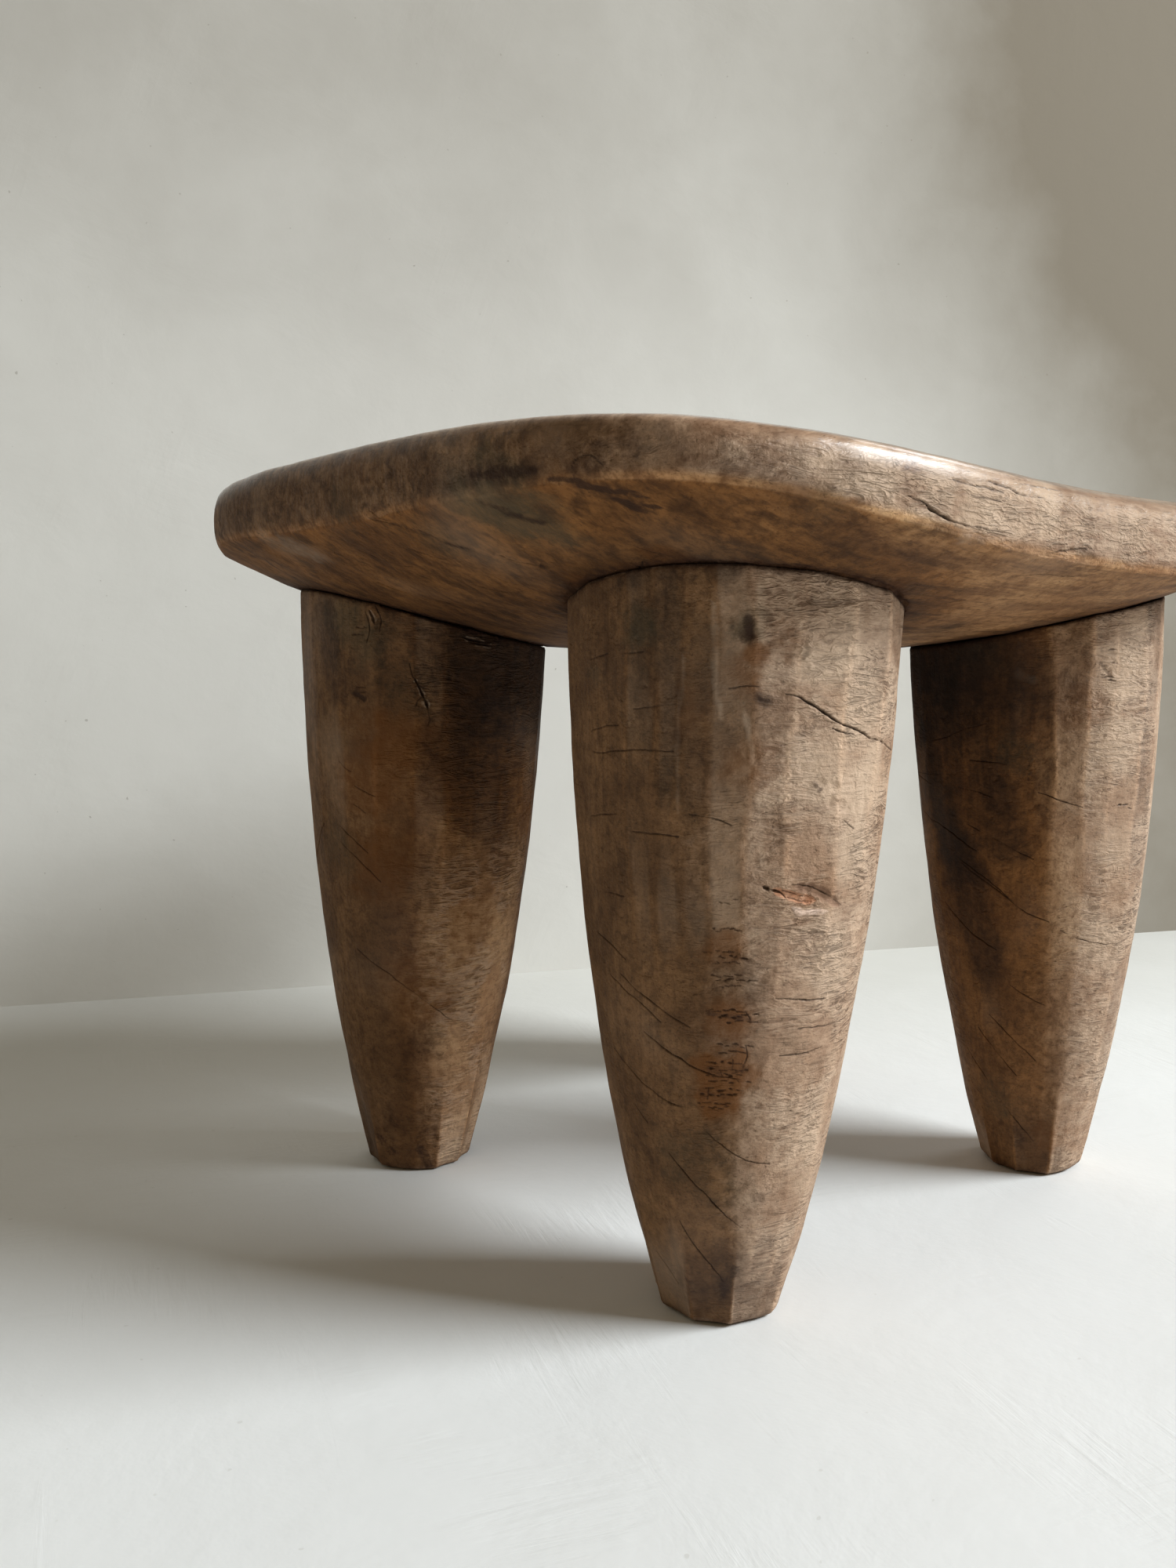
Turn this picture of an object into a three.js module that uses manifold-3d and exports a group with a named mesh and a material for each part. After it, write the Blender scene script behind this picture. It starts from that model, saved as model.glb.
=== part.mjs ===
// Low carved wooden stool: a dished seat with bowed sides on four faceted, tapering legs.
// Millimetres, +Z up. The origin lies on the floor under the middle of the seat.
// X runs along the seat and Y across it. Front is -Y, so the front left leg is at -X, -Y.
// The real stool is hewn from one block. Here the seat and each leg are parted by a hair
// along the sharp carved crease where the leg runs into the belly of the seat.

import * as THREE from 'three';
import { mergeVertices } from 'three/addons/utils/BufferGeometryUtils.js';
import Module from 'manifold-3d';

const wasm = await Module();
wasm.setup();

// Driving dimensions of the whole stool
const stoolHeight = 285;
const creaseGap = 0.3;
const weldDistance = 0.001;

// Seat: outline, rim and the two curved faces
const seatLength = 374;
const seatWidth = 336;
const squarenessShare = 3.9;
const endRimThickness = 22;
const sideRimThickness = 24;
const bellyDepth = 65;
const bellyCurveShare = 3;
const endRise = 9.5;
const sideDrop = 4.5;
const dishDepth = 8;

// The rim is thicker by this much at two opposite corners, where the arris droops
const rimDroop = 4;
const droopTurnShare = 0.417;
const droopReachShare = 8;

// Rim section: how far each edge of the rim lies inside the outline, and its rounding heights
const arrisInset = 2.2;
const lowEdgeInset = 0.5;
const highEdgeInset = 0.5;
const topEdgeInset = 2.6;
const crestInset = 8;
const lowEdgeRound = 3;
const highEdgeRound = 6.5;
const topEdgeRound = 1.9;

// Hand-hewn wander of the outline
const outlineWander = 0.8;
const outlineWaves = 5;

// Legs: how far their axes stand in from the outline, section and taper
const legSetbackLength = 95;
const legSetbackWidth = 83;
const legTopRadius = 51.7;
const legFootRadius = 21;
const legTaperClearance = 13;
const legBlankClearance = 29;
const legTaperHeight = stoolHeight - legTaperClearance;
const legBlankHeight = stoolHeight - legBlankClearance;
const taperPowerShare = 2.2;
const soleChamferWidth = 2.4;
const soleChamferHeight = 2.2;

// Adze facets run down each leg, and the ridges between them wander
const ridgeWander = 1.4;
const ridgeWanderLength = 95;
const hewnDepth = 0.4;

// Mesh steps
const seatSteps = 72;
const legSteps = 22;
const bellyShares = [0.16, 0.32, 0.47, 0.6, 0.71, 0.8, 0.88, 0.94];
const dishShares = [0.97, 0.91, 0.82, 0.7, 0.55, 0.38, 0.2];

// Each leg: axis at top and foot and its bow as shares of the setback position and foot radius,
// girth and heel as shares of the top and foot radius, and its ridges as shares of a turn
const legShares = {
  leg_front_left: {
    topShares: [-0.95, -0.973],
    footShares: [-1.003, -0.971],
    bowShares: [-0.035, 0.03],
    girthShare: 1.055,
    heelShare: 1.01,
    ridgeShares: [0.019, 0.069, 0.114, 0.167, 0.211, 0.264, 0.311, 0.356, 0.408, 0.461, 0.514,
      0.547, 0.572, 0.599, 0.636, 0.674, 0.728, 0.782, 0.833, 0.883, 0.928, 0.975],
  },
  leg_front_right: {
    topShares: [0.995, -1],
    footShares: [1.063, -1.069],
    bowShares: [0.02, -0.02],
    girthShare: 0.986,
    heelShare: 0.96,
    ridgeShares: [0.028, 0.078, 0.128, 0.172, 0.225, 0.275, 0.328, 0.372, 0.417, 0.456, 0.492,
      0.528, 0.556, 0.582, 0.606, 0.65, 0.683, 0.735, 0.786, 0.833, 0.886, 0.931, 0.981],
  },
  leg_back_left: {
    topShares: [-1.025, 1.006],
    footShares: [-1.076, 1.056],
    bowShares: [0, 0],
    girthShare: 1.002,
    heelShare: 1.03,
    ridgeShares: [0.003, 0.047, 0.1, 0.147, 0.194, 0.244, 0.292, 0.344, 0.392, 0.444, 0.492,
      0.544, 0.591, 0.642, 0.683, 0.725, 0.768, 0.808, 0.856, 0.903, 0.953],
  },
  leg_back_right: {
    topShares: [1, 1],
    footShares: [1.045, 1.045],
    bowShares: [0.02, 0.02],
    girthShare: 1.01,
    heelShare: 1,
    ridgeShares: [0.022, 0.067, 0.119, 0.164, 0.211, 0.264, 0.306, 0.356, 0.408, 0.453, 0.506,
      0.55, 0.597, 0.647, 0.692, 0.744, 0.794, 0.839, 0.889, 0.936, 0.978],
  },
};

const wood = { color: 0x8d6f56, roughness: 0.72, metalness: 0 };
const darkWood = { color: 0x7b5f49, roughness: 0.78, metalness: 0 };

// Turn a closed geometry into a solid, with its shared corners merged
function toSolid(geometry) {
  geometry.deleteAttribute('normal');
  geometry.deleteAttribute('uv');
  const welded = mergeVertices(geometry, weldDistance);
  const corners = welded.index.array;
  const kept = [];
  for (let i = 0; i < corners.length; i += 3) {
    const [a, b, c] = corners.subarray(i, i + 3);
    if (a !== b && b !== c && c !== a) kept.push(a, b, c);
  }
  return new wasm.Manifold(new wasm.Mesh({
    numProp: 3,
    vertProperties: welded.attributes.position.array,
    triVerts: Uint32Array.from(kept),
  }));
}

// Turn a solid back into a geometry
function toGeometry(solid) {
  const mesh = solid.getMesh();
  const geometry = new THREE.BufferGeometry();
  geometry.setAttribute('position', new THREE.BufferAttribute(mesh.vertProperties, mesh.numProp));
  geometry.setIndex(new THREE.BufferAttribute(mesh.triVerts, 1));
  geometry.computeVertexNormals();
  return geometry;
}

// Revolve rows about Z, then let place(angle, row, column) move every corner to its own spot
function revolveAndShape(rowCount, columns, place) {
  const profile = [];
  for (let row = 0; row < rowCount; row += 1) {
    profile.push(new THREE.Vector2(1, row));
  }
  const geometry = new THREE.LatheGeometry(profile, columns);
  const position = geometry.attributes.position;
  for (let i = 0; i < position.count; i += 1) {
    const row = i % rowCount;
    const column = Math.floor(i / rowCount) % columns;
    const spot = place((2 * Math.PI * column) / columns, row, column);
    position.setXYZ(i, spot.x, spot.y, spot.z);
  }
  return geometry;
}

// Distance from the seat's middle to its outline: a square with bowed sides and round corners
function outlineRadius(angle) {
  const alongShare = Math.abs(Math.cos(angle) / (seatLength / 2)) ** squarenessShare;
  const acrossShare = Math.abs(Math.sin(angle) / (seatWidth / 2)) ** squarenessShare;
  const radius = (alongShare + acrossShare) ** (-1 / squarenessShare);
  const wander = Math.sin(2 * angle) ** 2 * Math.sin(outlineWaves * angle);
  return radius + outlineWander * wander;
}

// Height of the rim's crest: the ends rise and the long sides dip a little
function crestHeight(x, y) {
  const along = x / (seatLength / 2 - crestInset);
  const across = y / (seatWidth / 2 - crestInset);
  return stoolHeight - endRise * (1 - along ** 2) - sideDrop * across ** 2;
}

// Height of the underside: a belly that is low in the middle and sweeps up to the rim
function bellyHeight(x, y) {
  const endLift = bellyDepth - endRimThickness;
  const sideLift = bellyDepth - sideRimThickness - endRise - sideDrop;
  const along = Math.abs(x) / (seatLength / 2 - arrisInset);
  const across = Math.abs(y) / (seatWidth / 2 - arrisInset);
  const lift = endLift * along ** bellyCurveShare + sideLift * across ** bellyCurveShare;
  const angle = Math.atan2(y, x);
  const reach = Math.hypot(x, y) / (outlineRadius(angle) - arrisInset);
  const droop = rimDroop * Math.cos(angle - 2 * Math.PI * droopTurnShare) ** 2;
  return stoolHeight - bellyDepth + lift - droop * reach ** droopReachShare;
}

// The dished top: the crest's own saddle, lower by the dish towards the middle
function dishHeight(x, y, share) {
  return crestHeight(x, y) - dishDepth * (1 - share ** 2);
}

// Rows of the seat from the middle of the belly round the rim to the middle of the dish
function seatRows() {
  const rows = [{ share: 0, inset: arrisInset, height: bellyHeight }];
  for (const share of bellyShares) {
    rows.push({ share, inset: arrisInset, height: bellyHeight });
  }
  rows.push({ share: 1, inset: arrisInset, height: bellyHeight });
  rows.push({ share: 1, inset: lowEdgeInset, height: (x, y) => bellyHeight(x, y) + lowEdgeRound });
  rows.push({ share: 1, inset: 0, height: (x, y) => (bellyHeight(x, y) + crestHeight(x, y)) / 2 });
  rows.push({ share: 1, inset: highEdgeInset, height: (x, y) => crestHeight(x, y) - highEdgeRound });
  rows.push({ share: 1, inset: topEdgeInset, height: (x, y) => crestHeight(x, y) - topEdgeRound });
  rows.push({ share: 1, inset: crestInset, height: crestHeight });
  for (const share of [...dishShares, 0]) {
    rows.push({ share, inset: crestInset, height: (x, y) => dishHeight(x, y, share) });
  }
  return rows;
}

function makeSeat() {
  const rows = seatRows();
  const place = (angle, row) => {
    const { share, inset, height } = rows[row];
    const radius = share * (outlineRadius(angle) - inset);
    const x = radius * Math.cos(angle);
    const y = radius * Math.sin(angle);
    return new THREE.Vector3(x, y, height(x, y));
  };
  return toSolid(revolveAndShape(rows.length, seatSteps, place));
}

// Radius of a leg at a height: nearly upright at the seat, then drawn in faster to the foot
function legRadius(height, shares) {
  const topRadius = legTopRadius * shares.girthShare;
  const footRadius = legFootRadius * shares.heelShare;
  const swell = 1 - (1 - height / legTaperHeight) ** taperPowerShare;
  return footRadius + (topRadius - footRadius) * swell;
}

// Rows of a leg: the sole's middle, its chamfer, the long taper and the middle of the top
function legRows() {
  const rows = [{ height: 0, inset: null }, { height: 0, inset: soleChamferWidth }];
  for (let step = 0; step <= legSteps; step += 1) {
    const height = soleChamferHeight + ((legBlankHeight - soleChamferHeight) * step) / legSteps;
    rows.push({ height, inset: 0 });
  }
  rows.push({ height: legBlankHeight, inset: null });
  return rows;
}

// Where the axis of a leg is at a height: it leans a little, and bows between seat and foot
function legAxis(height, shares) {
  const lean = height / legTaperHeight;
  const bow = 4 * lean * (1 - lean) * legFootRadius;
  const alongShare = THREE.MathUtils.lerp(shares.footShares[0], shares.topShares[0], lean);
  const acrossShare = THREE.MathUtils.lerp(shares.footShares[1], shares.topShares[1], lean);
  return {
    x: (seatLength / 2 - legSetbackLength) * alongShare + bow * shares.bowShares[0],
    y: (seatWidth / 2 - legSetbackWidth) * acrossShare + bow * shares.bowShares[1],
  };
}

// One leg as it is hewn: flat facets between ridges that wander a little on the way down
function makeLegBlank(shares, order) {
  const rows = legRows();
  const widest = Math.PI / shares.ridgeShares.length;
  const roundnessShare = (1 + Math.cos(widest)) / 2;
  const place = (angle, row, column) => {
    const { height, inset } = rows[row];
    const axis = legAxis(height, shares);
    if (inset === null) return new THREE.Vector3(axis.x, axis.y, height);
    const lean = height / legTaperHeight;
    const phase = column * column + order;
    const wave = Math.sin((2 * Math.PI * height) / ridgeWanderLength + phase);
    const radius = legRadius(height, shares) / roundnessShare - inset;
    const turn = 2 * Math.PI * shares.ridgeShares[column] + (lean * ridgeWander * wave) / radius;
    const reach = radius + hewnDepth * lean * Math.cos(phase + (2 * Math.PI * height) / legTaperHeight);
    return new THREE.Vector3(
      axis.x + reach * Math.cos(turn),
      axis.y + reach * Math.sin(turn),
      height,
    );
  };
  return toSolid(revolveAndShape(rows.length, shares.ridgeShares.length, place));
}

// A leg stops just short of the seat's belly, along the carved crease
function makeLeg(shares, order, seat) {
  const lowered = seat.translate([0, 0, -creaseGap]);
  return makeLegBlank(shares, order).subtract(lowered);
}

function addPiece(group, name, solid, finish) {
  const mesh = new THREE.Mesh(toGeometry(solid), new THREE.MeshStandardMaterial(finish));
  mesh.name = name;
  group.add(mesh);
}

const group = new THREE.Group();
const seat = makeSeat();
addPiece(group, 'seat', seat, wood);
Object.entries(legShares).forEach(([name, shares], order) => {
  addPiece(group, name, makeLeg(shares, order, seat), darkWood);
});

export default group;
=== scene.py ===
# %% [markdown]
# # A low stool hewn from one block of hardwood
# The real stool has no joints: a carver parted one seat and four stout legs from a single
# block with an adze, then went over them with a knife. The script loads the stool's solids as
# a fixed frame. Over each of them it models the surface that the tools, the sun and years of
# use have left.

# %% Load the frame
import math
import random

import bmesh
import bpy
import numpy as np
from mathutils import Euler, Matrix, Vector, kdtree, noise
from mathutils.bvhtree import BVHTree


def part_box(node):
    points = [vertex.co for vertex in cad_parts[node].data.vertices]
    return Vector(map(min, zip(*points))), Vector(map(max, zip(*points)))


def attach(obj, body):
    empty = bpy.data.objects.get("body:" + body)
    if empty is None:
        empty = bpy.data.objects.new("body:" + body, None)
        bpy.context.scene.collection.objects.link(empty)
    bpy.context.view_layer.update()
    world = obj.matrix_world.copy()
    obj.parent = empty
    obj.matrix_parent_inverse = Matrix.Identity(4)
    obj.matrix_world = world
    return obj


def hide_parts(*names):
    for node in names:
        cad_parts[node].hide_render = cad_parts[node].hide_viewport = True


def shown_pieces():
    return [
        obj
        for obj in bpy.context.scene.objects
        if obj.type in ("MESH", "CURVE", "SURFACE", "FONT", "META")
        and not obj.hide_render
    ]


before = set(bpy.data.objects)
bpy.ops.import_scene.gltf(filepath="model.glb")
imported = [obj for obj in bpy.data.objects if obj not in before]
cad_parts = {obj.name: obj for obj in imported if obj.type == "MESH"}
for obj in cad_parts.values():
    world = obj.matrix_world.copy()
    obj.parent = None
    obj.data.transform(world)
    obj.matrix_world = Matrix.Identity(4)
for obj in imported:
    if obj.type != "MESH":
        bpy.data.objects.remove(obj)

# Without a seed, vector noise starts from the clock and the checks wander anew on each run
noise.seed_set(7)

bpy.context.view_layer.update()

# %% [markdown]
# ## Camera
# The photograph looks past the front left leg from a little below the seat's underside. Its
# perspective is strong, as from a wide lens held close. The camera comes first,
# because the larger checks and stains are placed by the pixel where the photograph shows them.

# %% Camera at the photograph's viewing angle
photo_width, photo_height = 1500, 2000
focal_pixels = 1607
camera_place = Vector((-0.398, -0.362, 0.218))
degrees_down = 5.8
degrees_right = 41.36
camera_turn = Euler((math.radians(90 - degrees_down), 0, math.radians(-degrees_right)))

camera_data = bpy.data.cameras.new("camera")
camera_data.sensor_width = 36
camera_data.lens = focal_pixels / photo_height * camera_data.sensor_width
camera = bpy.data.objects.new("camera", camera_data)
camera.location = camera_place
camera.rotation_euler = camera_turn
bpy.context.scene.collection.objects.link(camera)
bpy.context.scene.camera = camera


def photo_ray(x, y):
    """Direction from the camera through a pixel of the photograph."""
    across = (x - photo_width / 2) / focal_pixels
    up = (photo_height / 2 - y) / focal_pixels
    return (camera_turn.to_matrix() @ Vector((across, up, -1))).normalized()


print("lens", round(camera_data.lens, 2), "mm")

# %% [markdown]
# ## The seat's form
# The outline is a square with bowed sides. The rim's crest rises to both ends and dips along
# the sides, the top is dished, and the underside is a belly that sweeps up to the rim. At two
# opposite corners the rim is thicker, and its lower arris droops.

# %% Sizes of the seat
seat_low, seat_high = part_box("seat")
seat_length = 0.374
seat_width = 0.336
stool_height = seat_high.z
squareness = 3.9
end_rim_thickness = 0.022
side_rim_thickness = 0.024
belly_depth = 0.065
belly_curve = 3
end_rise = 0.0095
side_drop = 0.0045
dish_depth = 0.008
rim_droop = 0.004
droop_turn = 2 * math.pi * 0.417
droop_reach = 8
arris_inset = 0.0022
crest_inset = 0.008
outline_wander = 0.0008
outline_waves = 5


def outline_radius(angle):
    along = np.abs(np.cos(angle) / (seat_length / 2)) ** squareness
    across = np.abs(np.sin(angle) / (seat_width / 2)) ** squareness
    wander = np.sin(2 * angle) ** 2 * np.sin(outline_waves * angle)
    return (along + across) ** (-1 / squareness) + outline_wander * wander


def crest_height(x, y):
    along = x / (seat_length / 2 - crest_inset)
    across = y / (seat_width / 2 - crest_inset)
    return stool_height - end_rise * (1 - along**2) - side_drop * across**2


def belly_height(x, y):
    end_lift = belly_depth - end_rim_thickness
    side_lift = belly_depth - side_rim_thickness - end_rise - side_drop
    along = np.abs(x) / (seat_length / 2 - arris_inset)
    across = np.abs(y) / (seat_width / 2 - arris_inset)
    lift = end_lift * along**belly_curve + side_lift * across**belly_curve
    angle = np.arctan2(y, x)
    reach = np.hypot(x, y) / (outline_radius(angle) - arris_inset)
    droop = rim_droop * np.cos(angle - droop_turn) ** 2
    return stool_height - belly_depth + lift - droop * reach**droop_reach


print("seat", round(seat_high.x - seat_low.x, 4), "by", round(seat_high.y - seat_low.y, 4), "m")

# %% [markdown]
# ## Shaping a mesh
# Every piece starts as a plain body cut into a fine, even grid. One function then carries each
# corner of the grid to its place on the carved form, as a carver works a squared block. NumPy
# moves all corners at once, so a form can be tuned by a single number.

# %% Helpers that read and move corners
mm = 0.001


def corners_of(mesh):
    places = np.empty(len(mesh.vertices) * 3)
    mesh.vertices.foreach_get("co", places)
    return places.reshape(-1, 3)


def normals_of(mesh):
    normals = np.empty(len(mesh.vertices) * 3)
    mesh.vertex_normals.foreach_get("vector", normals)
    return normals.reshape(-1, 3)


def move_corners(mesh, places):
    mesh.vertices.foreach_set("co", places.ravel())
    mesh.update()


def mesh_from(bm, name):
    mesh = bpy.data.meshes.new(name)
    bm.to_mesh(mesh)
    bm.free()
    return mesh


def noise_at(places, grain_size, seed):
    """Smooth noise from -1 to 1, with lumps of grain_size (one size, or one for X, Y and Z)."""
    scaled = places / np.array(grain_size) + seed * 17.3
    return np.array([noise.noise(place) for place in scaled.tolist()])


def ease(share):
    """From 0 to 1 with soft ends."""
    share = np.clip(share, 0, 1)
    return share * share * (3 - 2 * share)


def smooth_through(stations, share):
    """A curve through the stations, for shares from 0 to 1 along it."""
    stations = np.array(stations)
    padded = np.vstack([2 * stations[0] - stations[1], stations, 2 * stations[-1] - stations[-2]])
    spot = np.clip(share, 0, 1) * (len(stations) - 1)
    step = np.minimum(spot.astype(int), len(stations) - 2)
    t = (spot - step)[:, None]
    a, b, c, d = (padded[step + k] for k in range(4))
    return 0.5 * (2 * b + (c - a) * t + (2 * a - 5 * b + 4 * c - d) * t**2
                  + (3 * b - a - 3 * c + d) * t**3)


# %% [markdown]
# ### Seat
# The seat could be lofted from a few outlines, but a closed box cut into a grid has no pole
# in the middle of the dish, where a lofted cap pinches. Its four upright sides become the rim
# band, and the rim's section is a short list of stations that a smooth curve runs through.

# %% The seat's block and its rim
seat_cuts = 128
rim_cuts = 20


def seat_block():
    """A closed box from -1 to 1, cut into a fine grid on every side."""
    bm = bmesh.new()
    bmesh.ops.create_cube(bm, size=2)
    level = [e for e in bm.edges if abs(e.verts[0].co.z - e.verts[1].co.z) < 1]
    bmesh.ops.subdivide_edges(bm, edges=level, cuts=seat_cuts, use_grid_fill=True)
    upright = [e for e in bm.edges if abs(e.verts[0].co.z - e.verts[1].co.z) > 1]
    bmesh.ops.subdivide_edges(bm, edges=upright, cuts=rim_cuts, use_grid_fill=True)
    return mesh_from(bm, "seat_surface")


# How far the rim stands in from the outline, and how far up the rim that is
rim_section = [
    (0.0022, 0.0),
    (0.0005, 0.12),
    (0.0, 0.38),
    (0.0004, 0.66),
    (0.0024, 0.9),
    (0.0080, 1.0),
]


def shape_seat(unit):
    ring = np.maximum(np.abs(unit[:, 0]), np.abs(unit[:, 1]))
    angle = np.arctan2(unit[:, 1], unit[:, 0])
    share = ring * (1.45 - 0.45 * ring)
    rise = (unit[:, 2] + 1) / 2
    section = smooth_through(rim_section, rise)
    radius = share * (outline_radius(angle) - section[:, 0])
    x = radius * np.cos(angle)
    y = radius * np.sin(angle)
    belly = belly_height(x, y)
    crest = crest_height(x, y) - np.where(unit[:, 2] > 0.999, dish_depth * (1 - share**2), 0)
    z = belly + (crest - belly) * section[:, 1]
    return np.column_stack([x, y, z])


seat_mesh = seat_block()
print("seat block", len(seat_mesh.polygons), "faces")

# %% [markdown]
# ### Legs
# A leg is nearly upright where it leaves the seat and is drawn in faster towards the foot. The
# adze left long flat facets, and the ridges between them wander a little. A drum cut into
# rings is shaped row by row: the ridges' places are known at every height, and a corner
# between two ridges lies on the straight line that joins them.

# %% Sizes of the legs
leg_setback_length = 0.095
leg_setback_width = 0.083
leg_top_radius = 0.0517
leg_foot_radius = 0.021
leg_taper_height = 0.272
taper_power = 2.2
sole_chamfer = 0.0024
crease_gap = 0.0003
ridge_wander = 0.0014
ridge_wander_length = 0.095
hewn_depth = 0.0004

leg_table = {
    "leg_front_left": {
        "top": (-0.95, -0.973), "foot": (-1.003, -0.971), "bow": (-0.035, 0.03),
        "foot_cuts": 0.036, "girth": 1.055, "heel": 1.01, "rubbed": 0.25, "bleach": 0.33, "sunned_and_lit": 0.05,
        "ridges": (0.019, 0.069, 0.114, 0.167, 0.211, 0.264, 0.311, 0.356, 0.408, 0.461, 0.514,
                   0.547, 0.572, 0.599, 0.636, 0.674, 0.728, 0.782, 0.833, 0.883, 0.928, 0.975),
    },
    "leg_front_right": {
        "top": (0.995, -1), "foot": (1.063, -1.069), "bow": (0.02, -0.02),
        "foot_cuts": 0.038, "girth": 0.986, "heel": 0.96, "rubbed": 0.4, "bleach": 0.42, "sunned_and_lit": 0.0,
        "ridges": (0.028, 0.078, 0.128, 0.172, 0.225, 0.275, 0.328, 0.372, 0.417, 0.456, 0.492,
                   0.528, 0.556, 0.582, 0.606, 0.65, 0.683, 0.735, 0.786, 0.833, 0.886, 0.931, 0.981),
    },
    "leg_back_left": {
        "top": (-1.025, 1.006), "foot": (-1.076, 1.056), "bow": (0, 0),
        "foot_cuts": 0.056, "girth": 1.002, "heel": 1.03, "rubbed": 0.15, "bleach": 0.1, "sunned_and_lit": 0.45,
        "ridges": (0.003, 0.047, 0.1, 0.147, 0.194, 0.244, 0.292, 0.344, 0.392, 0.444, 0.492,
                   0.544, 0.591, 0.642, 0.683, 0.725, 0.768, 0.808, 0.856, 0.903, 0.953),
    },
    "leg_back_right": {
        "top": (1, 1), "foot": (1.045, 1.045), "bow": (0.02, 0.02),
        "foot_cuts": 0.044, "girth": 1.01, "heel": 1, "rubbed": 0.3, "bleach": 0.3, "sunned_and_lit": 0.2,
        "ridges": (0.022, 0.067, 0.119, 0.164, 0.211, 0.264, 0.306, 0.356, 0.408, 0.453, 0.506,
                   0.55, 0.597, 0.647, 0.692, 0.744, 0.794, 0.839, 0.889, 0.936, 0.978),
    },
}
for order, leg in enumerate(leg_table.values()):
    leg["order"] = order


def leg_radius(height, leg):
    top = leg_top_radius * leg["girth"]
    foot = leg_foot_radius * leg["heel"]
    return foot + (top - foot) * (1 - (1 - height / leg_taper_height) ** taper_power)


def leg_axis(height, leg):
    lean = height / leg_taper_height
    bow = 4 * lean * (1 - lean) * leg_foot_radius
    x = (seat_length / 2 - leg_setback_length) * (leg["foot"][0] + (leg["top"][0] - leg["foot"][0]) * lean)
    y = (seat_width / 2 - leg_setback_width) * (leg["foot"][1] + (leg["top"][1] - leg["foot"][1]) * lean)
    return x + bow * leg["bow"][0], y + bow * leg["bow"][1]


# %% The drum that a leg is shaped from
leg_columns = 240
leg_rings = 172
lid_ring_widths = (0.04, 0.16, 0.2, 0.2, 0.2)


def leg_block(name):
    """A closed drum of radius 1 and height 1, cut into rings, with rings on its top too."""
    bm = bmesh.new()
    bmesh.ops.create_cone(bm, cap_ends=True, segments=leg_columns, radius1=1, radius2=1, depth=1)
    bmesh.ops.translate(bm, verts=bm.verts, vec=(0, 0, 0.5))
    upright = [e for e in bm.edges if abs(e.verts[0].co.z - e.verts[1].co.z) > 0.5]
    bmesh.ops.subdivide_edges(bm, edges=upright, cuts=leg_rings, use_grid_fill=True)
    lid = [face for face in bm.faces if face.calc_center_median().z > 0.999]
    for ring_width in lid_ring_widths:
        bmesh.ops.inset_region(bm, faces=lid, thickness=ring_width, use_even_offset=True)
    bmesh.ops.poke(bm, faces=lid)
    return mesh_from(bm, name)


# %% [markdown]
# The facets of the real legs are crisp under the seat and almost rubbed away half way down. On
# the last few centimetres nine broad cuts trimmed the foot, each to its own height. A boolean
# per cut would leave slivers where two cuts meet, so each corner's reach is a blend: the flat
# facet and the round leg higher up, and the broad flat cut below.

# %% Facets
foot_facets = 9
foot_cut_spread = 0.012
facet_blend = math.radians(0.7)
rubbed_below = 0.1
crisp_blend = 0.07
foot_crisp_below = 0.05
foot_crisp_blend = 0.02
near_underside = 0.235
foot_crispness = 0.4
leg_spread = 0.04


def ridges_at(height, leg):
    """Turn and reach of every ridge at each height: one row per corner."""
    ridges = np.array(leg["ridges"])
    column = np.arange(len(ridges))
    phase = (column * column + leg["order"])[None, :]
    height = height[:, None]
    lean = height / leg_taper_height
    roundness = (1 + math.cos(math.pi / len(ridges))) / 2
    radius = leg_radius(height, leg) / roundness
    wave = np.sin(2 * np.pi * height / ridge_wander_length + phase)
    wave = wave + 0.5 * np.sin(2 * np.pi * height / (0.43 * ridge_wander_length) + 2.3 * phase)
    turn = 2 * np.pi * ridges[None, :] + lean * ridge_wander * wave / radius
    reach = radius + hewn_depth * lean * np.cos(phase + 2 * np.pi * height / leg_taper_height)
    return turn, reach


def facet_reach(turn, ridge_turn, ridge_reach):
    """Distance to the flat facet between two ridges, which facet it is, and nearness to a ridge."""
    rows = np.arange(len(turn))
    ahead = np.mod(turn[:, None] - ridge_turn, 2 * np.pi)
    left = np.argmin(ahead, axis=1)
    right = (left + 1) % ridge_turn.shape[1]
    since = ahead[rows, left]
    width = np.mod(ridge_turn[rows, right] - ridge_turn[rows, left], 2 * np.pi)
    from_reach = ridge_reach[rows, left]
    to_reach = ridge_reach[rows, right]
    flat = from_reach * to_reach * np.sin(width)
    flat = flat / (from_reach * np.sin(since) + to_reach * np.sin(width - since))
    edge = np.minimum(since, width - since) * flat
    return flat, left, edge


def facet_crispness(turn, height, leg):
    """How flat the facets are, from 0 to 1: less in the middle, and uneven all over."""
    upper = ease((height - rubbed_below) / crisp_blend)
    lower = ease((foot_crisp_below - height) / foot_crisp_blend)
    rubbed = leg["rubbed"]
    around = np.column_stack([leg_spread * np.cos(turn), leg_spread * np.sin(turn), height])
    uneven = noise_at(around, (13 * mm, 13 * mm, 42 * mm), 60 + leg["order"])
    patchy = 0.5 + 0.5 * ease(0.6 + 1.2 * uneven)
    return np.maximum((rubbed + (1 - rubbed) * upper) * patchy, foot_crispness * lower)


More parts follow.
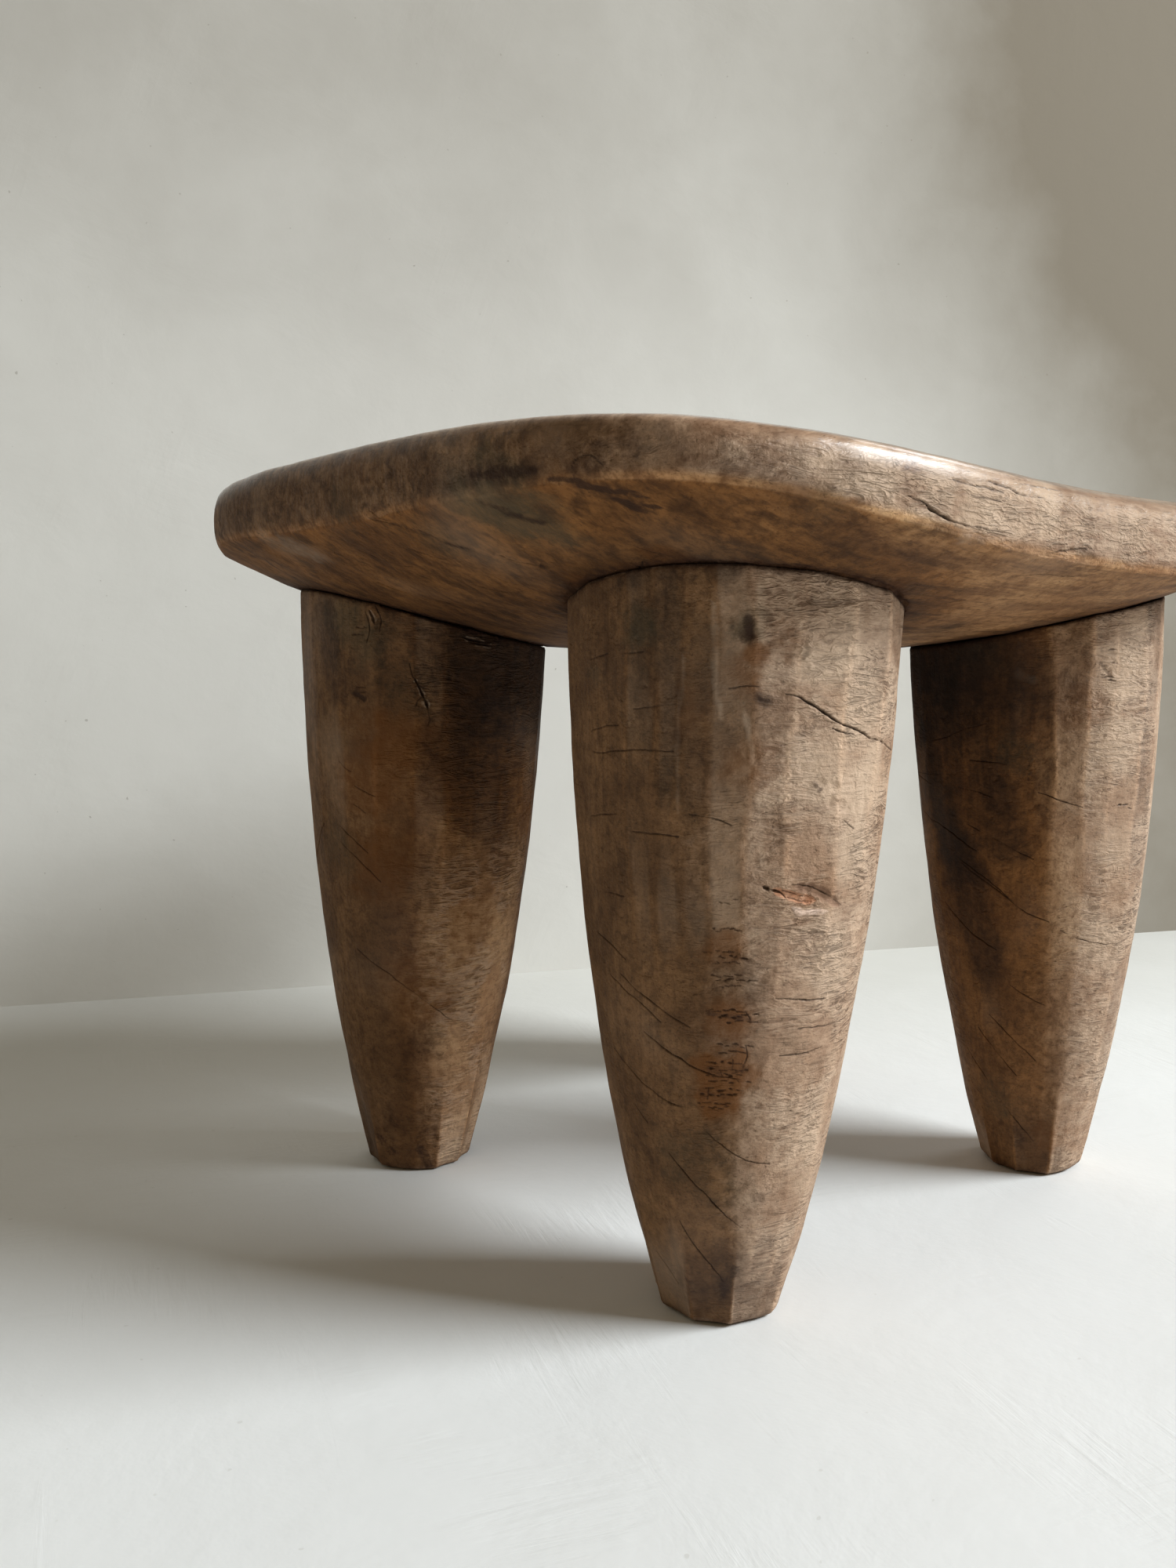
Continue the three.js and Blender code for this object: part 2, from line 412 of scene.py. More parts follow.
def foot_cuts(turn, height, leg):
    """The broad cuts round a foot: how far each reaches up, its depth, nearness to a ridge and number."""
    skewed = turn + 0.16 * np.sin(2 * turn + leg["order"]) + 0.1 * np.sin(3 * turn + 2 * leg["order"])
    step = 2 * math.pi / foot_facets
    number = np.floor(skewed / step)
    off_middle = skewed - (number + 0.5) * step
    number = np.mod(number, foot_facets)
    reach_up = leg["foot_cuts"] + foot_cut_spread * np.sin(5.1 * number + 2.3 * leg["order"])
    radius = leg_radius(height, leg)
    depth = radius * (1 - math.cos(step / 2) / np.cos(off_middle))
    edge = (step / 2 - np.abs(off_middle)) * radius
    return ease(1.15 - height / reach_up), depth, edge, number


def leg_reach(turn, height, leg):
    """The softened facets of a leg: the mean of its flat facets over a small sweep."""
    ridge_turn, ridge_reach = ridges_at(height, leg)
    weights = {-2: 1, -1: 2, 0: 3, 1: 2, 2: 1}
    flat = sum(
        weight * facet_reach(turn + step * facet_blend, ridge_turn, ridge_reach)[0]
        for step, weight in weights.items()
    ) / sum(weights.values())
    crisp = facet_crispness(turn, height, leg)
    reach = leg_radius(height, leg) * (1 - crisp) + flat * crisp
    share, depth, _, _ = foot_cuts(turn, height, leg)
    return reach - depth * share


def leg_top_height(turn, leg):
    """Where a leg meets the underside of the seat, all round."""
    height = np.full_like(turn, near_underside)
    for _ in range(3):
        x, y = leg_axis(height, leg)
        reach = leg_reach(turn, height, leg)
        height = belly_height(x + reach * np.cos(turn), y + reach * np.sin(turn)) - crease_gap
    return height


def shape_leg(unit, leg):
    turn = np.arctan2(unit[:, 1], unit[:, 0])
    share = np.minimum(np.hypot(unit[:, 0], unit[:, 1]), 1)
    share = np.where(share > 0.9999, 1, share)
    top = leg_top_height(turn, leg)
    height = unit[:, 2] * top
    reach = leg_reach(turn, height, leg)
    reach = reach - sole_chamfer * np.clip(1 - height / sole_chamfer, 0, 1) ** 2
    x, y = leg_axis(height, leg)
    x = x + share * reach * np.cos(turn)
    y = y + share * reach * np.sin(turn)
    lid = (unit[:, 2] > 0.999) & (share < 1)
    height = np.where(lid, belly_height(x, y) - crease_gap, height)
    return np.column_stack([x, y, height])


leg_meshes = {name: leg_block(name + "_surface") for name in leg_table}
print("leg block", len(leg_meshes["leg_front_left"].polygons), "faces")

# %% [markdown]
# ## Checks, chips and creases
# The block dried after it was carved, and checks opened along the grain. The grain runs along
# X, and the heart of the tree lay behind the middle of the block, so on the sides that face
# along X the checks point away from the heart, and on the others they run level. Each check
# is traced on the shaped surface: the visible ones through pixels of the photograph, the
# hidden ones by following the grain. They could be painted in the material, but a carved
# groove catches the low light along its lip, and holds up in a close view. The material still
# paints shade inside each groove, and a pale lip beside the wider ones that is partly a
# painted highlight.

# %% Tracing on a shaped surface
heart = Vector((0, 0.05, 0.195))
sample_step = 0.25 * mm
slow_wander = 4 * mm
quick_wander = 1.1 * mm
quick_share = 0.3
grain_stride_mm = 4
grain_tilt = 0.12
thinnest_half_width = 0.24 * mm
width_change_length = 2.4 * mm


def surface_of(mesh):
    bm = bmesh.new()
    bm.from_mesh(mesh)
    tree = BVHTree.FromBMesh(bm)
    bm.free()
    return tree


def spot_at(tree, pixel):
    """The place on a surface that a pixel of the photograph shows."""
    return tree.ray_cast(camera_place, photo_ray(*pixel))[0]


def even_samples(surface, spots, seed, wander):
    """Samples along a smooth line through spots, kept on the surface, with a hand-drawn wander."""
    length = sum((b - a).length for a, b in zip(spots, spots[1:]))
    count = max(4, int(length / sample_step))
    line = smooth_through([tuple(spot) for spot in spots], np.linspace(0, 1, count))
    samples = []
    for place in line.tolist():
        shift = noise.noise_vector(Vector(place) / slow_wander + Vector((seed, 0, 0))) * wander
        quick = noise.noise_vector(Vector(place) / quick_wander + Vector((0, seed, 0)))
        shift += quick * wander * quick_share
        samples.append(surface.find_nearest(Vector(place) + shift)[0])
    return samples


def check_along_grain(surface, start, length, seed):
    """Spots of a check from start: it stays in the plane of the grain and the heart."""
    spot, normal, _, _ = surface.find_nearest(Vector(start))
    outward = Vector((0, spot.y - heart.y, spot.z - heart.z)).normalized()
    plane = Vector((1, 0, 0)).cross(outward)
    plane += grain_tilt * noise.noise_vector(Vector((seed, 1, 2)))
    spots = [spot]
    way = normal.cross(plane).normalized()
    for step in range(int(length / (grain_stride_mm * mm))):
        ahead = spot + way * grain_stride_mm * mm
        spot, normal, _, _ = surface.find_nearest(ahead)
        turned = normal.cross(plane).normalized()
        way = turned if turned.dot(way) > 0 else -turned
        spots.append(spot)
    return spots


# %% Grooves
class Grooves:
    """Everything that is cut into one piece: samples with a half width, a depth and a kind."""

    def __init__(self, surface):
        self.surface = surface
        self.places, self.half_widths, self.depths, self.kinds = [], [], [], []

    def add_line(self, spots, width, depth, kind="check", wander=0.35 * mm):
        spots = [spot for spot in spots if spot is not None]
        if len(spots) < 2:
            return
        seed = len(self.places) * 0.137
        samples = even_samples(self.surface, spots, seed, wander)
        for step, place in enumerate(samples):
            share = step / (len(samples) - 1)
            opening = min(1, math.sin(math.pi * share) ** 0.5 * 1.15)
            uneven = 0.78 + 0.45 * noise.noise(place / width_change_length)
            self.places.append(place)
            self.half_widths.append(max(thinnest_half_width, width / 2 * opening * uneven))
            self.depths.append(depth * max(0.3, opening * uneven))
            self.kinds.append(kind)

    def add_pixels(self, pixels, width, depth, kind="check"):
        self.add_line([spot_at(self.surface, pixel) for pixel in pixels], width, depth, kind)

    def finish(self):
        if not self.places:
            self.half_widths, self.depths, self.kinds = np.zeros(1), np.zeros(1), np.array([""])
            return
        self.tree = kdtree.KDTree(len(self.places))
        for number, place in enumerate(self.places):
            self.tree.insert(place, number)
        self.tree.balance()
        self.half_widths = np.array(self.half_widths)
        self.depths = np.array(self.depths)
        self.kinds = np.array(self.kinds)

    def nearest(self, places):
        if not self.places:
            return np.ones(len(places)), np.zeros(len(places), dtype=int)
        found = [self.tree.find(place) for place in places.tolist()]
        distance = np.array([hit[2] for hit in found])
        number = np.array([hit[1] for hit in found])
        return distance, number


def refine_near(mesh, places, layers, margin, cuts):
    """Cut the faces near a groove finer. The mesh is still the plain block; places are shaped."""
    bm = bmesh.new()
    bm.from_mesh(mesh)
    bm.verts.ensure_lookup_table()
    middles = np.array([places[[v.index for v in face.verts]].mean(axis=0) for face in bm.faces])
    near = np.zeros(len(middles), dtype=bool)
    for grooves in layers:
        distance, number = grooves.nearest(middles)
        near |= distance < grooves.half_widths[number] + margin
    for face, chosen in zip(bm.faces, near):
        face.tag = bool(chosen) and len(face.verts) == 4
    edges = [edge for edge in bm.edges if any(face.tag for face in edge.link_faces)]
    bmesh.ops.subdivide_edges(bm, edges=edges, cuts=cuts, use_grid_fill=True)
    bm.to_mesh(mesh)
    bm.free()


# %% Checks by piece
front_leg_checks = [
    (1.0, 1.5, [(1003, 885), (1019, 890), (1038, 900), (1057, 913), (1076, 924), (1092, 930),
                (1111, 941), (1130, 950), (1137, 957)]),
    (0.9, 1.0, [(1062, 929), (1074, 934), (1089, 937)]),
    (0.45, 0.5, [(754, 932), (770, 927), (788, 925)]),
    (0.5, 0.6, [(757, 960), (796, 957), (821, 956), (859, 958)]),
    (0.4, 0.5, [(808, 905), (835, 901), (863, 898)]),
    (0.5, 0.7, [(879, 1039), (904, 1043), (915, 1046), (933, 1052)]),
    (0.4, 0.5, [(808, 1061), (834, 1063), (866, 1067)]),
    (0.4, 0.5, [(754, 1040), (786, 1038)]),
    (0.4, 0.4, [(754, 841), (765, 837), (776, 833)]),
    (0.35, 0.4, [(796, 834), (821, 831)]),
    (0.35, 0.4, [(930, 878), (950, 875), (968, 876)]),
    (0.5, 0.6, [(1028, 1034), (1060, 1039), (1076, 1047), (1089, 1056)]),
    (0.4, 0.5, [(771, 1137), (796, 1143)]),
    (0.45, 0.6, [(761, 1188), (775, 1200), (798, 1224)]),
    (0.5, 0.7, [(779, 1243), (798, 1263), (818, 1280), (843, 1304)]),
    (0.6, 0.9, [(822, 1316), (847, 1337), (871, 1353), (892, 1365), (920, 1373), (945, 1377)]),
    (0.6, 0.9, [(784, 1337), (814, 1375), (851, 1404), (880, 1418), (904, 1447), (929, 1467),
                (953, 1481), (982, 1484)]),
    (0.55, 0.8, [(854, 1471), (875, 1498), (896, 1520), (920, 1545), (945, 1565)]),
    (0.45, 0.6, [(867, 1557), (884, 1586), (904, 1610), (922, 1635)]),
    (0.5, 0.6, [(837, 1596), (851, 1616), (865, 1637)]),
    (0.6, 0.8, [(990, 1273), (1015, 1275), (1039, 1275), (1051, 1273)]),
    (0.45, 0.5, [(994, 1347), (1018, 1345), (1047, 1335)]),
    (0.45, 0.5, [(1018, 1312), (1051, 1308), (1080, 1296)]),
    (0.35, 0.4, [(810, 1410), (826, 1431)]),
    (0.35, 0.4, [(765, 1269), (775, 1296)]),
]

right_leg_checks = [
    (0.6, 0.7, [(1172, 949), (1200, 942), (1228, 931), (1258, 923)]),
    (0.5, 0.6, [(1237, 970), (1260, 971), (1284, 975)]),
    (0.4, 0.5, [(1172, 985), (1211, 987)]),
    (0.5, 0.6, [(1222, 1004), (1245, 1010), (1266, 1017)]),
    (0.7, 0.9, [(1324, 1011), (1340, 1016), (1355, 1022), (1381, 1030)]),
    (0.6, 0.8, [(1180, 1035), (1206, 1056), (1225, 1071), (1245, 1085)]),
    (0.6, 0.8, [(1235, 1051), (1276, 1074), (1318, 1096)]),
    (0.5, 0.7, [(1222, 1093), (1258, 1121), (1292, 1150)]),
    (0.6, 0.8, [(1226, 1100), (1271, 1135), (1307, 1163), (1338, 1176)]),
    (0.5, 0.7, [(1206, 1150), (1240, 1190), (1271, 1212)]),
    (0.5, 0.6, [(1352, 1187), (1391, 1202), (1425, 1204)]),
    (0.5, 0.6, [(1288, 1257), (1310, 1271), (1332, 1282)]),
    (0.6, 0.8, [(1262, 1294), (1291, 1324), (1321, 1353)]),
    (0.5, 0.7, [(1248, 1310), (1272, 1342), (1296, 1372)]),
    (0.5, 0.7, [(1234, 1336), (1268, 1389), (1318, 1456)]),
]

left_leg_checks = [
    (1.3, 1.4, [(527, 864), (533, 874), (540, 888), (544, 899), (547, 910)]),
    (0.7, 0.8, [(522, 846), (527, 864)]),
    (0.6, 0.7, [(427, 1047), (447, 1067), (469, 1088)]),
    (0.5, 0.6, [(432, 971), (447, 985)]),
    (0.5, 0.6, [(452, 1003), (466, 1011), (479, 1016)]),
    (0.4, 0.5, [(451, 1026), (466, 1037)]),
    (0.6, 0.7, [(425, 1063), (455, 1095), (486, 1125)]),
    (0.5, 0.6, [(455, 1210), (478, 1230), (500, 1245), (545, 1279), (590, 1310)]),
    (1.2, 0.9, [(599, 819), (615, 822), (631, 824)]),
    (0.8, 0.6, [(582, 786), (600, 783), (620, 784)]),
]

seat_checks = [
    (1.1, 1.9, [(1158, 632), (1170, 638), (1180, 641), (1187, 649), (1199, 657), (1212, 663),
                (1222, 667), (1232, 670), (1241, 672), (1260, 675), (1282, 680), (1305, 683)]),
    (0.6, 0.8, [(1305, 683), (1345, 684), (1386, 679)]),
    (0.9, 1.2, [(1262, 614), (1272, 618), (1287, 622), (1300, 629), (1318, 633), (1337, 636)]),
    (0.6, 0.8, [(1337, 638), (1370, 641), (1399, 643)]),
    (0.5, 0.6, [(1240, 632), (1262, 636), (1290, 641)]),
    (0.5, 0.6, [(1300, 617), (1335, 622), (1368, 630)]),
    (0.5, 0.6, [(1290, 646), (1330, 650), (1372, 651)]),
    (0.6, 0.7, [(1343, 634), (1380, 632), (1400, 633)]),
    (0.5, 0.5, [(1215, 612), (1250, 620), (1280, 628)]),
    (0.5, 0.5, [(1330, 671), (1362, 672), (1392, 668)]),
    (0.5, 0.5, [(1100, 596), (1122, 602), (1140, 610)]),
    (0.5, 0.6, [(1290, 736), (1330, 733), (1370, 736)]),
    (0.5, 0.5, [(1205, 770), (1226, 766), (1252, 768), (1280, 764)]),
    (0.5, 0.6, [(1335, 706), (1362, 702), (1386, 700)]),
    (0.5, 0.5, [(470, 652), (492, 664), (520, 672)]),
    (0.5, 0.5, [(620, 700), (655, 716), (690, 722)]),
    (0.5, 0.5, [(455, 700), (500, 718), (540, 726)]),
    (0.5, 0.5, [(470, 660), (510, 672), (560, 685)]),
    (0.5, 0.5, [(520, 700), (565, 714), (590, 718)]),
    (0.5, 0.5, [(570, 735), (610, 748), (650, 757)]),
    (0.6, 0.6, [(810, 698), (828, 704), (845, 708), (860, 712)]),
    (0.5, 0.5, [(330, 680), (365, 700), (400, 716)]),
    (0.9, 0.9, [(866, 722), (884, 717), (903, 713)]),
    (0.9, 0.8, [(1012, 718), (1036, 724), (1062, 733)]),
    (1.1, 1.0, [(1080, 738), (1100, 745), (1120, 750)]),
    (0.9, 0.8, [(733, 766), (741, 751), (752, 741)]),
    (0.8, 0.8, [(762, 738), (778, 735), (796, 727)]),
    (0.7, 0.7, [(800, 738), (814, 726), (824, 712)]),
    (0.6, 0.6, [(818, 726), (830, 714), (846, 706)]),
    (0.6, 0.6, [(730, 742), (742, 734), (750, 724)]),
    (0.6, 0.6, [(722, 752), (732, 742)]),
    (0.7, 0.7, [(480, 742), (505, 752), (528, 757)]),
    (0.8, 0.7, [(560, 766), (600, 776), (634, 786)]),
    (0.6, 0.6, [(1210, 806), (1240, 797), (1268, 792)]),
]

# Checks on the sides that the photograph hides: a start (metres) and a length
hidden_checks = {
    "seat": [
        ((0.05, 0.168, 0.258), 0.11), ((-0.09, 0.166, 0.262), 0.05), ((0.187, 0.03, 0.275), 0.02),
        ((0.187, -0.05, 0.272), 0.016), ((-0.12, 0.05, 0.275), 0.06), ((0.03, -0.06, 0.268), 0.07),
        ((0.09, 0.08, 0.27), 0.05), ((-0.04, 0.1, 0.27), 0.08), ((0.17, -0.02, 0.282), 0.09),
        ((0.1, 0.0, 0.228), 0.07), ((-0.02, 0.02, 0.22), 0.06), ((0.0, 0.11, 0.226), 0.05),
    ],
    "leg_front_left": [
        ((-0.04, -0.08, 0.17), 0.03), ((-0.045, -0.08, 0.11), 0.04), ((-0.05, -0.08, 0.06), 0.03),
        ((-0.09, -0.03, 0.15), 0.05), ((-0.09, -0.035, 0.1), 0.03), ((-0.13, -0.08, 0.12), 0.03),
    ],
    "leg_front_right": [
        ((0.14, -0.085, 0.19), 0.04), ((0.14, -0.085, 0.15), 0.05), ((0.135, -0.085, 0.1), 0.05),
        ((0.13, -0.09, 0.06), 0.04), ((0.09, -0.035, 0.17), 0.05), ((0.09, -0.04, 0.09), 0.04),
        ((0.145, -0.09, 0.215), 0.03),
    ],
    "leg_back_left": [
        ((-0.145, 0.09, 0.15), 0.05), ((-0.14, 0.09, 0.08), 0.04), ((-0.09, 0.14, 0.2), 0.05),
        ((-0.09, 0.14, 0.14), 0.06), ((-0.1, 0.135, 0.08), 0.04), ((-0.045, 0.09, 0.18), 0.04),
        ((-0.05, 0.09, 0.1), 0.03),
    ],
    "leg_back_right": [
        ((0.14, 0.09, 0.2), 0.04), ((0.14, 0.09, 0.15), 0.05), ((0.135, 0.09, 0.1), 0.04),
        ((0.09, 0.14, 0.18), 0.06), ((0.09, 0.14, 0.12), 0.05), ((0.09, 0.135, 0.07), 0.03),
        ((0.045, 0.085, 0.2), 0.04), ((0.045, 0.085, 0.14), 0.05), ((0.05, 0.085, 0.08), 0.03),
        ((0.09, 0.035, 0.16), 0.05),
    ],
}
shown_checks = {
    "seat": seat_checks,
    "leg_front_left": front_leg_checks,
    "leg_front_right": right_leg_checks,
    "leg_back_left": left_leg_checks,
    "leg_back_right": [],
}

# %% [markdown]
# ### Stains, blotches and painted shade
# Handling, smoke and damp left patches on the wood. The soot patches and some of the dark ones
# also paint the shade under the seat and between the legs, and the pale ones paint sheen as well
# as rubbed wood. Each is a pixel of the photograph (or two, for a stroke between them), a radius
# in millimetres and a strength. All have soft edges but the blots, which are small and end
# sharply, as drops and burns do. Noise breaks up every edge when the patches are painted.

# %% Patches by piece and kind
patches = {
    "seat": {
        "olive": [
            (645, 650, 15, 1.0), (600, 640, 10, 0.8), (700, 672, 10, 0.8), (560, 690, 10, 0.4),
            (440, 640, 9, 0.4), (1060, 640, 8, 0.3),
        ],
        "dark": [
            (743, 605, 5, 0.6), (775, 627, 3.5, 0.6), (816, 645, 3.5, 0.6), (640, 606, 6, 0.7),
            (600, 610, 5, 0.6), (1085, 585, 6, 0.3), (1160, 612, 5, 0.3), (935, 585, 5, 0.3),
            (675, 602, 5, 0.6), (560, 612, 6, 0.5), (520, 590, 12, 0.3), (990, 570, 9, 0.25),
            (1015, 585, 6, 0.3), (430, 680, 8, 0.2), (700, 655, 5, 0.6), (480, 700, 12, 0.3),
            (1180, 682, 5, 0.3), (1290, 712, 6, 0.25), (1385, 712, 5, 0.5), (860, 712, 5, 0.5),
            (1120, 764, 5, 0.5),
        ],
        "blot": [
            (740, 582, 729, 596, 1.1, 0.35), (729, 598, 738, 618, 1.3, 0.45),
            (740, 582, 764, 588, 1.0, 0.3), (740, 620, 776, 626, 1.7, 1.0),
            (776, 626, 816, 631, 1.5, 1.0), (790, 640, 814, 650, 1.7, 1.0),
            (814, 652, 838, 647, 1.5, 1.0), (700, 612, 736, 614, 1.0, 0.8),
            (600, 606, 680, 600, 1.8, 0.7), (650, 655, 694, 668, 1.8, 0.7),
            (610, 640, 648, 650, 1.4, 0.6), (560, 692, 590, 700, 1.2, 0.6),
            (500, 668, 548, 684, 1.3, 0.5), (1150, 690, 1210, 706, 1.2, 0.4),
            (900, 640, 930, 646, 1.4, 0.3), (430, 708, 500, 728, 1.0, 0.4),
        ],
        # Smoke, and painted shade under the seat round the legs
        "soot_and_shade": [
            (843, 647, 0.6, 1.0), (590, 608, 690, 604, 3, 0.35), (640, 655, 700, 668, 2.4, 0.3),
            (560, 690, 600, 702, 1.6, 0.4), (480, 664, 560, 690, 1.8, 0.4),
            (430, 706, 520, 735, 1.6, 0.3), (640, 760, 9, 0.4), (1210, 800, 9, 0.6),
            (790, 700, 8, 0.3), (1150, 668, 1250, 690, 2.2, 0.4), (870, 668, 940, 674, 2, 0.3),
            (660, 735, 700, 742, 2, 0.35), (1100, 736, 1105, 738, 0.7, 0.8),
        ],
        "red": [
            (850, 712, 7, 0.8), (800, 725, 5, 0.7), (745, 745, 6, 0.7), (1140, 748, 5, 0.6),
            (900, 580, 10, 0.2), (700, 600, 12, 0.3), (450, 610, 12, 0.3), (1450, 690, 8, 0.15),
        ],
        # Rubbed wood, and painted sheen where the rim and underside catch the light
        "pale": [
            (352, 694, 400, 706, 8, 0.35), (1450, 675, 9, 0.6), (330, 640, 9, 0.2),
            (850, 560, 8, 0.25), (700, 565, 8, 0.25), (1120, 600, 8, 0.7), (1250, 645, 9, 0.8),
            (1340, 645, 9, 0.8), (1200, 615, 8, 0.6), (1420, 670, 9, 0.5), (1040, 590, 7, 0.4),
            (1300, 655, 8, 0.6),
        ],
    },
    "leg_front_left": {
        "olive": [
            (815, 800, 6, 0.8), (870, 1480, 11, 0.4), (905, 1470, 8, 0.4), (955, 800, 4, 0.9),
            (965, 780, 3, 0.6), (1010, 1330, 7, 0.25), (1025, 830, 3, 0.5), (930, 1520, 9, 0.3),
            (760, 860, 4, 0.4),
        ],
        "dark": [
            (850, 730, 9, 0.4), (958, 812, 3, 0.9), (975, 892, 1.8, 1.0), (968, 888, 1.6, 0.7),
            (935, 1610, 7, 0.6), (925, 1640, 6, 0.6), (880, 1640, 7, 0.5), (975, 1590, 4, 0.4),
            (967, 1530, 2.2, 0.6), (895, 960, 7, 0.35), (1040, 1000, 3, 0.4), (930, 940, 5, 0.4),
            (1040, 1190, 5, 0.3), (1060, 1140, 3, 0.3), (1035, 775, 3, 0.5), (822, 1460, 4, 0.5),
            (815, 1480, 3, 0.4), (915, 1480, 3, 0.4),
        ],
        "blot": [
            (955, 790, 958, 812, 2.2, 0.65), (940, 800, 950, 818, 2.0, 0.45),
            (969, 891, 977, 893, 1.1, 0.8), (1038, 998, 1046, 1008, 1.1, 0.5),
            (934, 1618, 924, 1652, 2.6, 0.6), (878, 1636, 884, 1652, 2.2, 0.4),
            (902, 1366, 950, 1364, 2.4, 0.42), (898, 1396, 930, 1398, 2.2, 0.42),
            (902, 1292, 956, 1299, 1.0, 0.5),
        ],
        # Smoke, and painted shade on the leg's darker left side
        "soot_and_shade": [
            (856, 740, 854, 1000, 4.4, 0.5), (826, 780, 826, 930, 7, 0.42),
            (790, 745, 930, 728, 3.5, 0.5), (898, 800, 900, 900, 4, 0.35),
            (925, 1230, 960, 1260, 6, 0.35), (872, 960, 878, 1040, 3, 0.25),
            (890, 1040, 910, 1300, 4, 0.2),
        ],
        "red": [
            (966, 835, 4, 1.0), (950, 860, 6, 0.6), (925, 1210, 6, 0.8), (930, 1300, 7, 0.8),
            (925, 1375, 9, 1.3), (915, 1400, 7, 1.3), (920, 1365, 6, 1.2), (960, 980, 8, 0.4),
            (850, 900, 10, 0.3), (1040, 1130, 7, 0.4), (1000, 820, 6, 0.4),
        ],
        # Rubbed wood, and painted sheen on the lit side and along the ridges
        "pale": [
            (1080, 830, 12, 0.6), (1100, 900, 12, 0.8), (1110, 1000, 12, 0.8), (1090, 1080, 10, 0.6),
            (1050, 980, 10, 0.6), (1060, 1240, 10, 0.5), (1030, 1500, 10, 0.6), (1000, 1580, 8, 0.4),
            (912, 771, 912, 873, 0.8, 0.6), (912, 873, 920, 914, 0.8, 0.6),
            (950, 909, 963, 975, 0.8, 0.6), (970, 745, 971, 812, 0.9, 0.7),
            (971, 812, 962, 858, 0.8, 0.6), (1006, 745, 1034, 853, 0.8, 0.6),
            (876, 822, 863, 924, 0.7, 0.4), (863, 924, 863, 1037, 0.7, 0.4),
            (968, 990, 972, 1100, 0.7, 0.5), (1015, 880, 1020, 1060, 0.8, 0.4), (1045, 1420, 9, 0.5),
            (1050, 850, 9, 0.7), (1035, 1450, 7, 0.9),
        ],
    },
    "leg_front_right": {
        "olive": [
            (1240, 830, 14, 0.5), (1290, 960, 8, 0.5), (1270, 1400, 10, 0.4),
        ],
        # Stains, and painted shade on the leg's upper left side under the seat
        "dark": [
            (1210, 860, 18, 0.8), (1190, 930, 14, 0.7), (1260, 1000, 12, 0.5), (1230, 1080, 10, 0.4),
            (1300, 1450, 6, 0.4), (1280, 1300, 8, 0.3), (1290, 800, 10, 0.5), (1345, 1480, 5, 0.5),
        ],
        "blot": [
            (1288, 806, 1300, 824, 2.4, 0.4), (1345, 1478, 1340, 1500, 2.0, 0.5),
            (1404, 845, 1418, 864, 1.2, 0.5),
        ],
        # Smoke, and painted shade on the leg's upper left side under the seat
        "soot_and_shade": [
            (1175, 860, 14, 1.0), (1205, 880, 13, 0.9), (1245, 865, 9, 0.6), (1180, 925, 11, 0.8),
            (1225, 935, 10, 0.7), (1200, 985, 9, 0.6), (1270, 830, 8, 0.6), (1240, 1040, 8, 0.4),
            (1190, 990, 1225, 1110, 11, 0.75), (1260, 960, 1285, 1080, 9, 0.55),
            (1230, 1130, 1260, 1240, 9, 0.5),
        ],
        "red": [
            (1290, 810, 10, 0.5), (1250, 880, 10, 0.4), (1180, 850, 8, 0.4), (1380, 900, 10, 0.4),
            (1340, 1450, 8, 0.4),
        ],
        # Rubbed wood, and painted sheen on the lit side
        "pale": [
            (1300, 860, 1318, 868, 2, 0.3), (1430, 860, 12, 0.7), (1430, 950, 12, 0.7),
            (1420, 1080, 12, 0.6), (1450, 800, 8, 0.6), (1400, 1200, 10, 0.4),
        ],
    },
    "leg_back_left": {
        "olive": [
            (440, 790, 10, 0.8), (470, 820, 10, 0.7), (430, 1080, 12, 0.4), (520, 880, 14, 0.4),
        ],
        # Stains, and painted shade on the leg's top and right side under the seat
        "dark": [
            (475, 765, 7, 1.0), (412, 770, 430, 880, 7, 0.7), (520, 780, 9, 0.7), (600, 790, 14, 0.6),
            (640, 900, 14, 0.5), (560, 850, 14, 0.4), (620, 980, 12, 0.5), (640, 1060, 12, 0.4),
            (540, 1460, 7, 0.4), (500, 1440, 7, 0.3), (458, 885, 4, 0.6), (540, 1330, 9, 0.6),
            (450, 850, 8, 0.5),
        ],
        "blot": [
            (474, 756, 478, 804, 2.0, 0.9), (500, 770, 560, 784, 3.0, 0.8),
            (560, 786, 650, 812, 3.4, 0.8), (453, 884, 464, 892, 1.4, 0.8),
            (536, 1464, 546, 1486, 2.4, 0.6), (478, 1440, 500, 1470, 2.2, 0.5),
        ],
        # Smoke, and painted shade on the leg's top under the seat
        "soot_and_shade": [
            (655, 845, 11, 0.8), (640, 895, 10, 0.65), (668, 930, 9, 0.6), (650, 975, 8, 0.35),
            (420, 780, 432, 850, 5, 0.35), (620, 820, 10, 0.6), (590, 800, 10, 0.6),
            (550, 785, 8, 0.6), (505, 768, 7, 0.6), (614, 940, 600, 1060, 5, 0.35), (600, 900, 9, 0.3),
            (560, 860, 9, 0.25),
        ],
        "red": [
            (500, 950, 16, 0.7), (470, 1000, 14, 0.6), (480, 1100, 16, 0.6), (560, 1000, 14, 0.4),
            (670, 1040, 8, 0.6), (540, 1260, 18, 0.5), (600, 1180, 12, 0.5),
        ],
        # Rubbed wood, and painted sheen low on the lit side
        "pale": [
            (440, 950, 9, 0.15), (600, 1300, 9, 0.2),
        ],
    },
    "leg_back_right": {"olive": [], "dark": [], "blot": [], "soot_and_shade": [], "red": [], "pale": []},
}

# %% [markdown]
# ## Carving the pieces
# The materials read those paintings by name.

# %% Painting values on corners
def paint(mesh, name, values):
    layer = mesh.attributes.new(name, "FLOAT", "POINT")
    layer.data.foreach_set("value", np.asarray(values, dtype=float))


